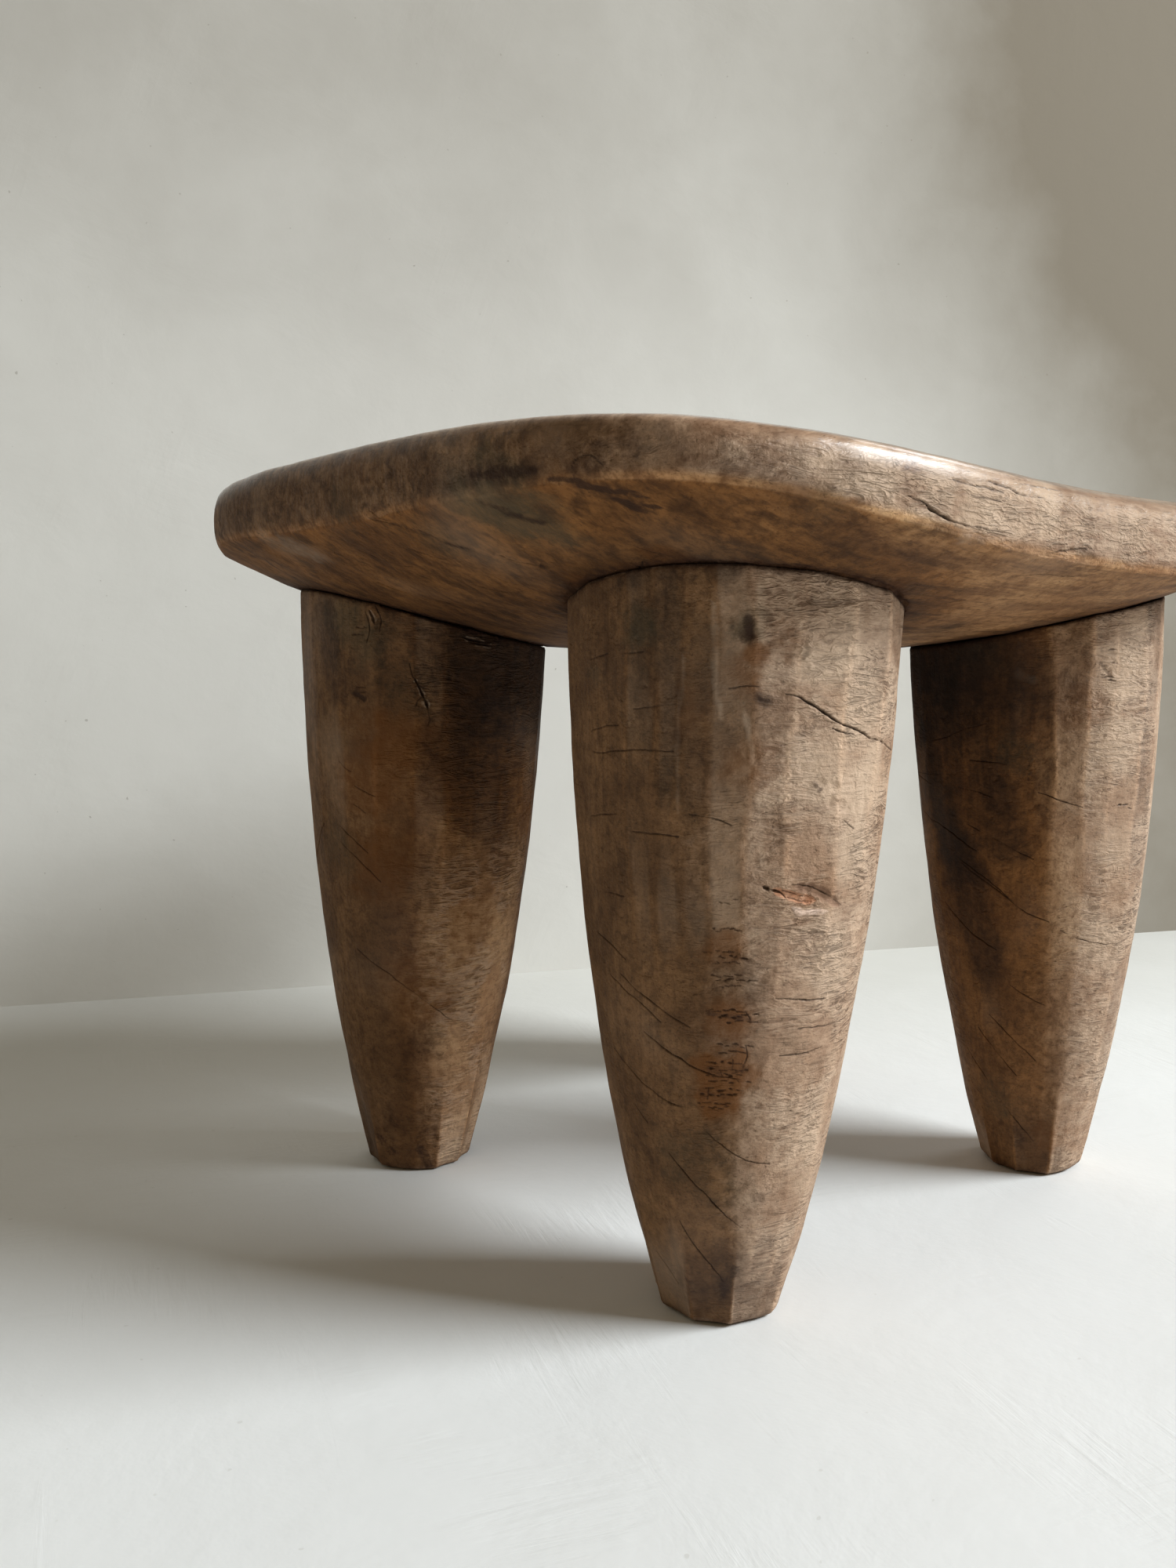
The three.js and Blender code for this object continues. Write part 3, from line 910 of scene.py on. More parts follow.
def patch_mask(surface, places, blobs, seed):
    """Soft spots on the surface, each with a broken edge."""
    total = np.zeros(len(places))
    ragged = noise_at(places, 7 * mm, seed) + 0.5 * noise_at(places, 2.5 * mm, seed + 1)
    for *pixels, radius, strength in blobs:
        start, end = spot_at(surface, pixels[:2]), spot_at(surface, pixels[-2:])
        if start is None or end is None:
            continue
        start, way = np.array(start), np.array(end - start)
        share = np.clip((places - start) @ way / max(way @ way, mm * mm * mm), 0, 1)
        distance = np.linalg.norm(places - start - share[:, None] * way, axis=1) / (radius * mm)
        total = np.maximum(total, strength * ease(1.25 - distance * 0.75 + 0.35 * ragged))
    return total


hidden_share = {"olive": 0.35, "dark": 0.5, "blot": 0.26, "soot_and_shade": 0.45, "red": 0.5, "pale": 0.22}


def scattered_patches(places, seed, threshold):
    """Soft patches, long along the grain, for the sides that the photograph hides."""
    field = noise_at(places, (46 * mm, 22 * mm, 30 * mm), seed)
    field = field + 0.4 * noise_at(places, (14 * mm, 7 * mm, 9 * mm), seed + 5)
    return ease((field - threshold) / 0.5)


# %% Carving one piece
fine_margin = 1.1 * mm
lip_height = 0.07 * mm
lip_from_half_width = 0.4 * mm
hidden_check_width, hidden_check_depth = 0.6 * mm, 0.8 * mm


def seen_in_photo(places, normals):
    """How far each corner faces the photograph's camera, from 0 to 1."""
    towards = np.array(camera_place) - places
    towards /= np.linalg.norm(towards, axis=1)[:, None]
    return ease((np.sum(towards * normals, axis=1) + 0.15) / 0.3)


def end_grain(places, normals, start):
    """How far the fibres end at each corner: the sun bleaches wood that ends there least."""
    uneven = 0.12 * noise_at(places, (18 * mm, 18 * mm, 40 * mm), 51) + 0.06 * noise_at(places, 4 * mm, 52)
    return ease((np.abs(normals[:, 0]) - start + uneven) / 0.62)


def grooves_for(name, surface):
    grooves = Grooves(surface)
    for width, depth, pixels in shown_checks[name]:
        grooves.add_pixels(pixels, width * mm, depth * mm)
    for seed, (start, length) in enumerate(hidden_checks[name]):
        spots = check_along_grain(surface, start, length, seed)
        grooves.add_line(spots, hidden_check_width, hidden_check_depth)
    return grooves


def groove_depth(distance, half_width, depth):
    return depth * np.clip(1 - (distance / half_width) ** 2, 0, 1)


def carve(name, mesh, shape, hew, extra_grooves, dusk_and_shade_of, soot_and_shade_of, cuts, clip_low, clip_high):
    """Shape a block into its finished surface, and paint its corners."""
    block = corners_of(mesh)
    move_corners(mesh, shape(block))
    surface = surface_of(mesh)
    shaped = corners_of(mesh)
    move_corners(mesh, block)

    grooves = grooves_for(name, surface)
    hollows = Grooves(surface)
    extra_grooves(grooves, hollows)
    layers = (grooves, hollows)
    for layer in layers:
        layer.finish()
    refine_near(mesh, shaped, layers, fine_margin, cuts)

    places = shape(corners_of(mesh))
    move_corners(mesh, places)
    normals = normals_of(mesh)
    places = places + normals * hew(places, normals)[:, None]

    raise_by = np.zeros(len(places))
    marks = {kind: np.zeros(len(places)) for kind in ("check", "pit", "chip", "torn", "ledge", "lip")}
    for layer in layers:
        distance, number = layer.nearest(places)
        half_width = np.maximum(layer.half_widths[number], 0.01 * mm)
        kind = layer.kinds[number]
        raise_by -= groove_depth(distance, half_width, layer.depths[number])
        # A wide check gets a raised lip painted pale: rubbed wood and a painted highlight
        wide = (kind == "check") & (half_width > lip_from_half_width)
        from_lip = (distance - 1.7 * half_width) / (0.7 * half_width)
        raise_by += wide * lip_height * np.exp(-(from_lip ** 2))
        marks["lip"] = np.maximum(marks["lip"], wide * ease(1 - np.abs(distance / half_width - 1.6)))
        # Checks and pits are painted dark inside: painted shade in the groove, and a reddish stain in the
        # pits too
        for narrow in ("check", "pit"):
            dark = np.clip(1.15 - distance / half_width, 0, 1) ** 0.5
            marks[narrow] = np.maximum(marks[narrow], np.where(kind == narrow, dark, 0))
        for broad in ("chip", "torn", "ledge"):
            open_wood = ease(2 - 1.6 * distance / half_width)
            marks[broad] = np.maximum(marks[broad], np.where(kind == broad, open_wood, 0))
    move_corners(mesh, np.clip(places + normals * raise_by[:, None], clip_low, clip_high))
    for mark, values in marks.items():
        paint(mesh, mark, values)

    faced = seen_in_photo(places, normals)
    for seed, (patch, blobs) in enumerate(patches[name].items()):
        shown = patch_mask(surface, places, blobs, seed * 3 + 11)
        threshold = 0.45 if patch in ("soot_and_shade", "blot") else 0.15
        hidden = hidden_share[patch] * scattered_patches(places, seed * 7 + 3, threshold)
        amount = shown * faced + hidden * (1 - faced) + 0.25 * hidden * faced
        # The legs' inner sides and the underside get smoke and painted shade here
        if patch == "soot_and_shade":
            amount = np.maximum(amount, soot_and_shade_of(places, normals))
        paint(mesh, patch, amount)
    side_grain = 1 - np.abs(normals[:, 0]) ** 1.5
    paint(mesh, "side_grain", side_grain)
    paint(mesh, "lifted", side_grain * (1 - 0.94 * ease(np.abs(normals[:, 2]) * 1.7 - 0.25)))
    # Darker, unbleached wood, which is also painted shade under the seat and on the legs' inner sides
    paint(mesh, "dusk_and_shade", dusk_and_shade_of(places, normals))
    return places, normals


def finish_piece(name, mesh, node):
    piece = bpy.data.objects.new(name, mesh)
    bpy.context.scene.collection.objects.link(piece)
    mesh.shade_smooth()
    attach(piece, "root")
    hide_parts(node)
    triangles = sum(len(face.vertices) - 2 for face in mesh.polygons)
    print(name, triangles, "triangles")


# %% [markdown]
# ### The creases
# Where a leg runs into the belly the knife left a narrow, dirty groove. Both pieces get their
# share of it: the seat a ring of groove round each leg, and the leg a rounded top edge. The
# dark along it is dirt and painted shade.

# %% Crease rings
crease_turns = np.linspace(-math.pi, math.pi, leg_columns + 1)
crease_width, crease_depth, crease_wander = 2.2 * mm, 1.1 * mm, 1.5 * mm


def crease_ring(leg):
    top = leg_top_height(crease_turns, leg)
    x, y = leg_axis(top, leg)
    reach = leg_reach(crease_turns, top, leg)
    return np.column_stack([x + reach * np.cos(crease_turns), y + reach * np.sin(crease_turns), top])


crease_rings = {name: crease_ring(leg) for name, leg in leg_table.items()}
crease_points = np.vstack(list(crease_rings.values()))
crease_tree = kdtree.KDTree(len(crease_points))
for number, place in enumerate(crease_points.tolist()):
    crease_tree.insert(place, number)
crease_tree.balance()


def to_crease(places):
    return np.array([crease_tree.find(place)[2] for place in places.tolist()])


# %% [markdown]
# ### The seat
# A ring of groove runs round each leg, a short curl of cracks stands for the knot in the rim,
# and the lower arris has one dent. The underside is dark with smoke and oil, and with painted
# shade, but paler towards the near right corner, as the photograph shows.

# %% Carve the seat
groove_cuts = 3
seat_knot = [
    (0.5, 0.4, [(745, 581), (733, 587), (728, 600), (731, 613), (742, 622), (756, 628), (772, 630)]),
    (0.5, 0.3, [(768, 594), (757, 583), (745, 581)]),
    (0.6, 0.4, [(772, 630), (786, 632), (798, 637)]),
    (0.5, 0.3, [(698, 612), (712, 611), (725, 612)]),
]


def paler_corner(places):
    """From 0 to 1 towards the near right corner, where the photograph shows a paler underside."""
    towards = ease((0.75 * places[:, 0] - 0.66 * places[:, 1] + 0.06) / 0.13)
    return towards * ease((to_crease(places) - 3 * mm) / (22 * mm))


def underside_dusk_and_shade(places, normals):
    """The underside and the seat's dish are darker than the rim; under the seat this is partly painted
    shade.
    """
    cloudy = 0.18 * noise_at(places, (45 * mm, 14 * mm, 20 * mm), 53)
    below = ease((-normals[:, 2] - 0.42 + cloudy) / 0.3)
    inside = outline_radius(np.arctan2(places[:, 1], places[:, 0])) - np.hypot(places[:, 0], places[:, 1])
    above = 0.55 * ease((normals[:, 2] - 0.75) / 0.2) * ease((inside - 12 * mm) / (16 * mm))
    below = (1.05 + cloudy) * below * (1 - 0.5 * paler_corner(places))
    return np.maximum(np.maximum(below, above), 0.8 * end_grain(places, normals, 0.4))


def smoky_and_shaded_belly(places, normals):
    """Smoke and painted shade on the underside: round the legs, and thinly all over but at the left end and
    paler corner.
    """
    cloudy = noise_at(places, (30 * mm, 12 * mm, 20 * mm), 57)
    paler = paler_corner(places)
    left_end = ease((-places[:, 0] - 0.12) / 0.05)
    near_leg = 0.5 * ease(1 - to_crease(places) / (24 * mm) + 0.4 * cloudy) * (1 - 0.5 * paler)
    far_side = (0.36 + 0.12 * cloudy) * (1 - paler) * (1 - 0.8 * left_end)
    return np.maximum(near_leg, far_side) * ease(-normals[:, 2] * 3 - 1.2)


def seat_extras(grooves, hollows):
    for ring in crease_rings.values():
        spots = [Vector(place) for place in ring.tolist()]
        hollows.add_line(spots, crease_width, crease_depth, kind="crease", wander=crease_wander)
    for width, depth, pixels in seat_knot:
        grooves.add_pixels(pixels, width * mm, depth * mm)
    arris_dent = [spot_at(hollows.surface, pixel) for pixel in ((1352, 702), (1376, 706), (1398, 715))]
    hollows.add_line(arris_dent, 3.8 * mm, 0.7 * mm, kind="dent")


def hew_seat(places, normals):
    """Shallow hollows of the adze, long along the grain, and finer ones on the rim."""
    hollow = noise_at(places, (34 * mm, 17 * mm, 17 * mm), 1)
    ripple = noise_at(places, (9 * mm, 5 * mm, 7 * mm), 2)
    fine = noise_at(places, (3.2 * mm, 1.8 * mm, 1.8 * mm), 3)
    underside = ease(-normals[:, 2] * 2)
    rim = 1 - np.abs(normals[:, 2]) ** 2
    strength = 0.25 + 0.35 * underside + 0.25 * rim
    return strength * (0.9 * hollow + 0.35 * ripple + 0.12 * fine) * mm - 0.2 * mm * rim


seat_places, seat_normals = carve(
    "seat", seat_mesh, shape_seat, hew_seat, seat_extras, underside_dusk_and_shade, smoky_and_shaded_belly,
    groove_cuts, seat_low, seat_high)


# Dirt and painted shade in the creases where the legs meet the seat
def crease_dirt_and_shade(places, reach, seed):
    away = to_crease(places)
    ragged = noise_at(places, 3 * mm, seed) + 0.6 * noise_at(places, 9 * mm, seed + 1)
    return np.clip(np.exp(-((away / (reach * (1.1 + 0.75 * ragged))) ** 2)), 0, 1)


paint(seat_mesh, "dirt_and_shade", crease_dirt_and_shade(seat_places, 2.3 * mm, 31))
crest_gap = crest_height(seat_places[:, 0], seat_places[:, 1]) - seat_places[:, 2]
outline_gap = outline_radius(np.arctan2(seat_places[:, 1], seat_places[:, 0]))
outline_gap = outline_gap - np.hypot(seat_places[:, 0], seat_places[:, 1])
top_edge = np.exp(-((crest_gap / (6 * mm)) ** 2)) * ease(1 - outline_gap / (22 * mm))
sitting = ease((seat_normals[:, 2] - 0.6) / 0.3)
worn_by_sitting = 0.2 + 0.12 * noise_at(seat_places, (50 * mm, 20 * mm, 20 * mm), 9)
paint(seat_mesh, "polish", np.clip(np.maximum(1.35 * top_edge, worn_by_sitting * sitting), 0, 1))
lower_arris = belly_height(seat_places[:, 0], seat_places[:, 1]) - seat_places[:, 2]
arris_wear = np.exp(-((lower_arris / (1.6 * mm)) ** 2)) * ease(1 - outline_gap / (5 * mm))
paint(seat_mesh, "wear", np.clip(arris_wear + 0.6 * top_edge, 0, 1))
paint(seat_mesh, "tone", noise_at(seat_places, (60 * mm, 30 * mm, 24 * mm), 8))
# Oil darkens the underside, which also paints the shade under the seat
paint(seat_mesh, "oiled_and_shaded", ease(-seat_normals[:, 2] * 2.5 - 0.4))
paint(seat_mesh, "chatter", ease(1.4 - 2 * np.abs(seat_normals[:, 2])))
finish_piece("seat_carved", seat_mesh, "seat")

# %% [markdown]
# ### The legs
# The nearest leg has a fresh chip and many rows of small pits. The other two that show have a
# few rows of pits, and all three have gouges from the carving. Each mark has a width and a
# depth in millimetres and is traced by pixels of the photograph, but a row of pits gives only
# its height and its ends, and seeded chance places the pits along it.

# %% Chip and pits
chip_cuts = [
    ("torn", 5.4, 1.1, [(1014, 1131), (1030, 1134), (1046, 1140), (1060, 1148), (1070, 1155)]),
    ("chip", 4.6, 1.1, [(986, 1135), (1004, 1141), (1022, 1146), (1040, 1149)]),
    # The ledge is a raised flap of pale wood with a painted highlight
    ("ledge", 3.0, -0.45, [(1010, 1158), (1020, 1163), (1034, 1163), (1056, 1162)]),
    ("pit", 2.2, 1.5, [(973, 1131), (977, 1133), (982, 1134)]),
    ("pit", 1.1, 1.0, [(983, 1134), (990, 1137), (997, 1140), (1003, 1146)]),
    ("check", 0.6, 0.6, [(1010, 1128), (1028, 1130), (1048, 1137), (1062, 1146), (1072, 1154)]),
    ("fibre", 0.5, 0.35, [(1014, 1140), (1032, 1144), (1050, 1149)]),
    ("fibre", 0.5, 0.35, [(1020, 1148), (1036, 1151), (1048, 1156)]),
    ("fibre", 0.5, 0.35, [(1018, 1134), (1036, 1138), (1054, 1146)]),
    ("pit", 0.5, 0.4, [(998, 1136), (1012, 1140), (1026, 1143)]),
    ("pit", 0.4, 0.4, [(1006, 1145), (1020, 1149), (1032, 1152)]),
]

# Short upright cracks that join the pits of the front leg
pit_cracks = [
    [(952, 1334), (953, 1346), (949, 1356)], [(935, 1352), (933, 1362)], [(904, 1388), (902, 1402)],
    [(919, 1366), (921, 1374)], [(951, 1290), (957, 1301)],
]

# Rows of small pits: height in the photograph, from and to across it, and strength
pit_rows = {
    "leg_front_left": [
        (1149, 916, 936, 0.5), (1186, 908, 944, 0.6), (1215, 896, 932, 0.8), (1221, 914, 952, 0.9),
        (1228, 900, 940, 0.5), (1243, 906, 946, 0.7), (1251, 912, 968, 0.9), (1258, 916, 950, 0.5),
        (1289, 898, 944, 1.0), (1296, 912, 960, 1.0), (1303, 926, 964, 0.9), (1333, 912, 952, 0.8),
        (1342, 916, 954, 0.9), (1356, 898, 948, 1.0), (1364, 904, 952, 1.0), (1371, 900, 948, 1.0),
        (1380, 904, 952, 0.9), (1390, 898, 950, 1.0), (1398, 890, 942, 1.0), (1406, 888, 932, 0.9),
        (1414, 892, 926, 0.7),
    ],
    "leg_front_right": [
        (843, 1403, 1420, 1.0), (848, 1405, 1419, 1.0), (861, 1402, 1419, 1.0), (866, 1404, 1416, 1.0),
        (1029, 1424, 1440, 0.8), (830, 1412, 1424, 0.7),
    ],
    "leg_back_left": [
        (800, 452, 470, 0.8), (808, 448, 462, 0.7), (878, 452, 464, 0.9), (884, 456, 468, 0.9),
    ],
    "leg_back_right": [],
}
print("chip cuts", len(chip_cuts), "pit rows", sum(len(rows) for rows in pit_rows.values()))

# %% Cuts and gouges
hewn_cuts = {
    "leg_back_left": [
        (2.0, 1.0, [(472, 752), (474, 764), (470, 778), (478, 796)]),
        (1.2, 0.7, [(548, 780), (572, 782), (592, 781)]),
        (1.2, 0.8, [(590, 812), (606, 818), (624, 820)]),
        (1.0, 0.6, [(478, 770), (486, 790), (484, 806)]),
        (0.6, 0.6, [(540, 888), (534, 894), (530, 902)]),
        (0.5, 0.5, [(533, 874), (541, 878), (548, 880)]),
        (0.5, 0.5, [(547, 910), (549, 918), (546, 926)]),
        (0.9, 0.7, [(468, 756), (466, 780), (471, 800), (468, 820)]),
    ],
}
gouges = {
    "leg_back_left": [
        (6.0, 1.0, [(598, 772), (620, 778), (640, 786)]), (5.0, 0.9, [(600, 806), (618, 812), (634, 814)]),
        (5.0, 0.9, [(520, 772), (540, 776), (556, 780)]), (4.0, 0.8, [(476, 764), (482, 784), (480, 804)]),
        (5.0, 0.6, [(452, 884), (458, 890), (466, 894)]),
    ],
    "leg_front_left": [
        (6.0, 0.6, [(955, 786), (957, 800), (955, 818)]),
        (4.0, 0.5, [(1040, 996), (1056, 1000), (1072, 1006)]),
        (5.0, 0.5, [(1052, 1022), (1068, 1026), (1084, 1034)]),
        (6.0, 0.5, [(930, 760), (932, 775), (930, 795)]),
    ],
    "leg_front_right": [
        (4.0, 0.5, [(1404, 848), (1418, 862)]), (5.0, 0.4, [(1352, 930), (1356, 960), (1350, 990)]),
    ],
}
print("gouges", sum(len(lines) for lines in gouges.values()))


# %% Laying the marks on a leg
pit_wander = 0.3 * mm
chip_wander = 0.25 * mm
pit_crack_width, pit_crack_depth = 0.45 * mm, 0.4 * mm


def add_pit_row(grooves, row, chance):
    """A row of short level pits with uneven gaps."""
    height, start, end, strength = row
    x = start + chance.uniform(0, 3)
    while x < end:
        length = chance.uniform(3, 12) * (0.6 + 0.4 * strength)
        y = height + chance.uniform(-2.2, 2.2)
        slope = chance.uniform(-1.2, 1.6)
        middle = (x + length / 2, y + slope / 2 + chance.uniform(-0.6, 0.6))
        pixels = [(x, y), middle, (x + length, y + slope)]
        spots = [spot_at(grooves.surface, pixel) for pixel in pixels]
        width = chance.uniform(0.5, 1.1) * (0.6 + 0.4 * strength) * mm
        grooves.add_line(spots, width, 0.6 * strength * mm, kind="pit", wander=pit_wander)
        x += length + chance.uniform(-2, 6)


def leg_extras(name):
    def add_to(grooves, hollows):
        chance = random.Random(name)
        for row in pit_rows[name]:
            add_pit_row(grooves, row, chance)
        for width, depth, pixels in hewn_cuts.get(name, []):
            grooves.add_pixels(pixels, width * mm, depth * mm)
        if name == "leg_front_left":
            for kind, width, depth, pixels in chip_cuts:
                spots = [spot_at(grooves.surface, pixel) for pixel in pixels]
                layer = hollows if kind in ("torn", "chip", "ledge") else grooves
                layer.add_line(spots, width * mm, depth * mm, kind=kind, wander=chip_wander)
            for pixels in pit_cracks:
                grooves.add_pixels(pixels, pit_crack_width, pit_crack_depth, "pit")
        for width, depth, pixels in gouges.get(name, []):
            hollows.add_pixels(pixels, width * mm, depth * mm, "gouge")
    return add_to


# %% Where a leg is dark, sooty and painted with shade, and where it is hewn
def facing_inwards(normals, leg):
    """From -1 to 1: how far each corner looks at the other legs."""
    inwards = -Vector(leg["top"]).normalized()
    return normals[:, 0] * inwards.x + normals[:, 1] * inwards.y


def unbleached_and_shaded(leg):
    """Darker wood on a leg's inner side and top, where the sun never reached and where shade falls: partly
    painted shade, a little darker towards the foot, and lighter low down on a leg that the light reaches
    there.
    """
    def dusk_and_shade(places, normals):
        cloudy = noise_at(places, (22 * mm, 22 * mm, 34 * mm), 54 + leg["order"])
        top = 0.3 * ease((places[:, 2] - 0.205 + 0.012 * cloudy) / 0.03)
        sunned_and_lit = leg["sunned_and_lit"] * ease((0.175 - places[:, 2] + 0.015 * cloudy) / 0.07)
        inner = ease((facing_inwards(normals, leg) + 0.15 + 0.2 * cloudy) / 0.5) * (1 - 1.8 * sunned_and_lit)
        outer_end = end_grain(places, normals, leg["bleach"] + 0.3 * sunned_and_lit)
        lower = ease((places[:, 2] - 0.02) / 0.13)
        dark = np.maximum(outer_end, np.maximum(top, inner * (0.4 + 0.6 * lower)))
        return dark + 0.12 * cloudy + 0.16 * (1 - lower)
    return dusk_and_shade


def sooty_and_shaded_inside(leg):
    """Smoke and painted shade on the upper part of a leg, on its inner side under the seat."""
    def soot_and_shade(places, normals):
        cloudy = noise_at(places, (16 * mm, 16 * mm, 30 * mm), 58 + leg["order"])
        inner = ease(facing_inwards(normals, leg) + 0.4 + 0.3 * cloudy)
        return 0.75 * inner * ease((places[:, 2] - 0.135 + 0.02 * cloudy) / 0.07)
    return soot_and_shade


def hew_leg(leg):
    def hew(places, normals):
        """Hollows left by the adze, rounder and softer than the facets, and lifted fibres."""
        hollow = noise_at(places, (15 * mm, 15 * mm, 30 * mm), 21 + leg["order"])
        ripple = noise_at(places, (6 * mm, 6 * mm, 9 * mm), 25 + leg["order"])
        fibre = noise_at(places, (3.5 * mm, 3.5 * mm, 1.3 * mm), 29 + leg["order"])
        side_grain = 1 - np.abs(normals[:, 0])
        top_edge = to_crease(places)
        rounded = 0.5 * mm * np.exp(-((top_edge / (0.6 * mm)) ** 2))
        body = (0.42 * hollow + 0.14 * ripple + 0.07 * side_grain * fibre) * mm
        standing = ease(places[:, 2] / (4 * mm))
        return body * standing - rounded
    return hew


# %% Carve the legs
ridge_softness, foot_edge_softness = 2.2 * mm, 1.2 * mm
ridge_wear_width, foot_wear_width = 1.0 * mm, 0.8 * mm
leg_cuts = 4

for name, leg in leg_table.items():
    mesh = leg_meshes[name]
    node_low, node_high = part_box(name)
    print(name, "stands", round(node_high.z - node_low.z, 4), "m high in the frame")
    places, normals = carve(
        name, mesh, lambda unit, leg=leg: shape_leg(unit, leg), hew_leg(leg), leg_extras(name),
        unbleached_and_shaded(leg), sooty_and_shaded_inside(leg), leg_cuts, Vector((-1, -1, 0)), Vector((1, 1, 1)))
    axis_x, axis_y = leg_axis(places[:, 2], leg)
    turn = np.arctan2(places[:, 1] - axis_y, places[:, 0] - axis_x)
    ridge_turn, ridge_reach = ridges_at(places[:, 2], leg)
    _, facet, edge = facet_reach(turn, ridge_turn, ridge_reach)
    facets = range(ridge_turn.shape[1])
    tones = np.array([noise.noise(Vector((k * 0.62, leg["order"] * 9.1, 0.5))) for k in facets])
    bold = np.array([ease(0.5 + 2 * noise.noise(Vector((k * 5.3, 3.3, leg["order"])))) for k in facets])
    soft_edge = ease(edge / ridge_softness)
    crisp = facet_crispness(turn, places[:, 2], leg)
    lumps = noise_at(places, 26 * mm, 33 + leg["order"])
    foot_share, _, foot_edge, foot_number = foot_cuts(turn, places[:, 2], leg)
    foot_tone = np.sin(7.7 * foot_number + leg["order"]) * ease(foot_edge / foot_edge_softness)
    facet_tone = crisp * soft_edge * tones[facet] * 1.3
    paint(mesh, "tone", facet_tone * (1 - foot_share) + foot_tone * foot_share + 0.5 * lumps)
    ragged = 0.6 + 0.6 * noise_at(places, (5 * mm, 5 * mm, 12 * mm), 37)
    ridge_line = np.exp(-((edge / ridge_wear_width) ** 2)) * bold[facet]
    foot_line = np.exp(-((foot_edge / foot_wear_width) ** 2)) * foot_share
    paint(mesh, "wear", np.clip((ridge_line * crisp * 1.3 + foot_line) * ragged, 0, 1))
    paint(mesh, "chatter", 0.3 * crisp)
    # Oil darkens the leg's inner side, which also paints the shade between the legs
    inner = facing_inwards(normals, leg)
    oiled_up = 0.6 + 0.4 * ease(places[:, 2] / 0.12)
    paint(mesh, "oiled_and_shaded", np.clip(ease((inner + 0.35) / 0.6) * oiled_up, 0, 1))
    # The sole's edge is painted dark: painted shade where the foot meets the floor
    sole_contact_shade = np.exp(-((places[:, 2] / (2.2 * mm)) ** 2))
    paint(mesh, "dirt_and_shade", np.clip(crease_dirt_and_shade(places, 1.5 * mm, 41) + 0.8 * sole_contact_shade, 0, 1))
    paint(mesh, "polish", 0.5 * ease(noise_at(places, 40 * mm, 43) * 1.5))
    finish_piece(name + "_carved", mesh, name)

# %% [markdown]
# ## Wood
# The wood is an even, pale brown hardwood. Where the grain runs along the surface the sun has
# bleached it to a pinkish beige; where the fibres end, on the sides that look along X, and under
# the seat, it has drunk in oil and smoke and gone dark. The dark wood and the oil are also laid
# where shade falls, under the seat and on the legs' inner sides and tops, as painted shade.
# Image textures would need a picture and would smear round the legs, so the pattern is built in
# space from noise stretched along X.

# %% Helpers that build nodes
def tint(red, green, blue):
    """A colour given as it looks on screen, from 0 to 255, made linear."""
    def linear(value):
        value /= 255
        return value / 12.92 if value <= 0.04045 else ((value + 0.055) / 1.055) ** 2.4
    return (linear(red), linear(green), linear(blue), 1)


def add_node(tree, kind, sockets=None, **fields):
    made = tree.nodes.new("ShaderNode" + kind)
    for field, value in fields.items():
        setattr(made, field, value)
    for socket, value in (sockets or {}).items():
        if isinstance(value, bpy.types.NodeSocket):
            tree.links.new(value, made.inputs[socket])
        else:
            made.inputs[socket].default_value = value
    return made


def maths(tree, operation, first, second=0.0, third=0.0, clamp=False):
    values = {0: first, 1: second}
    if operation == "MULTIPLY_ADD":
        values[2] = third
    return add_node(tree, "Math", values, operation=operation, use_clamp=clamp).outputs[0]


def blend(tree, share, first, second, mode="MIX"):
    made = add_node(tree, "Mix", {0: share, 6: first, 7: second}, data_type="RGBA", blend_type=mode)
    return made.outputs[2]


def range_of(tree, value, low, high, to_low=0.0, to_high=1.0):
    sockets = {0: value, 1: low, 2: high, 3: to_low, 4: to_high}
    return add_node(tree, "MapRange", sockets, interpolation_type="SMOOTHSTEP").outputs[0]


def cloud(tree, place, scale, detail=3.0, rough=0.55, warp=0.0):
    """Noise whose lumps are 1 / scale metres, with one scale for each axis."""
    stretched = add_node(tree, "VectorMath", {0: place, 1: scale}, operation="MULTIPLY").outputs[0]
    sockets = {"Vector": stretched, "Scale": 1.0, "Detail": detail, "Roughness": rough, "Distortion": warp}
    return add_node(tree, "TexNoise", sockets).outputs[0]


def crests(tree, value, sharpness):
    """Thin winding lines where a noise passes its middle."""
    away = maths(tree, "ABSOLUTE", maths(tree, "SUBTRACT", value, 0.5))
    return maths(tree, "MULTIPLY_ADD", away, -sharpness, 1.0, clamp=True)


def painted(tree, name):
    return add_node(tree, "Attribute", attribute_name=name, attribute_type="GEOMETRY").outputs["Fac"]


def start_group(name, takes, gives):
    tree = bpy.data.node_groups.new(name, "ShaderNodeTree")
    for label, kind, start in takes:
        socket = tree.interface.new_socket(label, in_out="INPUT", socket_type="NodeSocket" + kind)
        if start is not None:
            socket.default_value = start
    for label, kind in gives:
        tree.interface.new_socket(label, in_out="OUTPUT", socket_type="NodeSocket" + kind)
    return tree, tree.nodes.new("NodeGroupInput"), tree.nodes.new("NodeGroupOutput")


def use_group(tree, group, takes):
    """Place a group in a material and feed its inputs."""
    placed = tree.nodes.new("ShaderNodeGroup")
    placed.node_tree = group
    for label, source in takes.items():
        tree.links.new(source, placed.inputs[label])
    return placed


# %% [markdown]
# ### The figure of the wood
# One group holds everything that follows the grain. Its outputs are masks: fine fibres, short
# dark flecks, long streaks, the year rings round the heart, and two sizes of blotches.

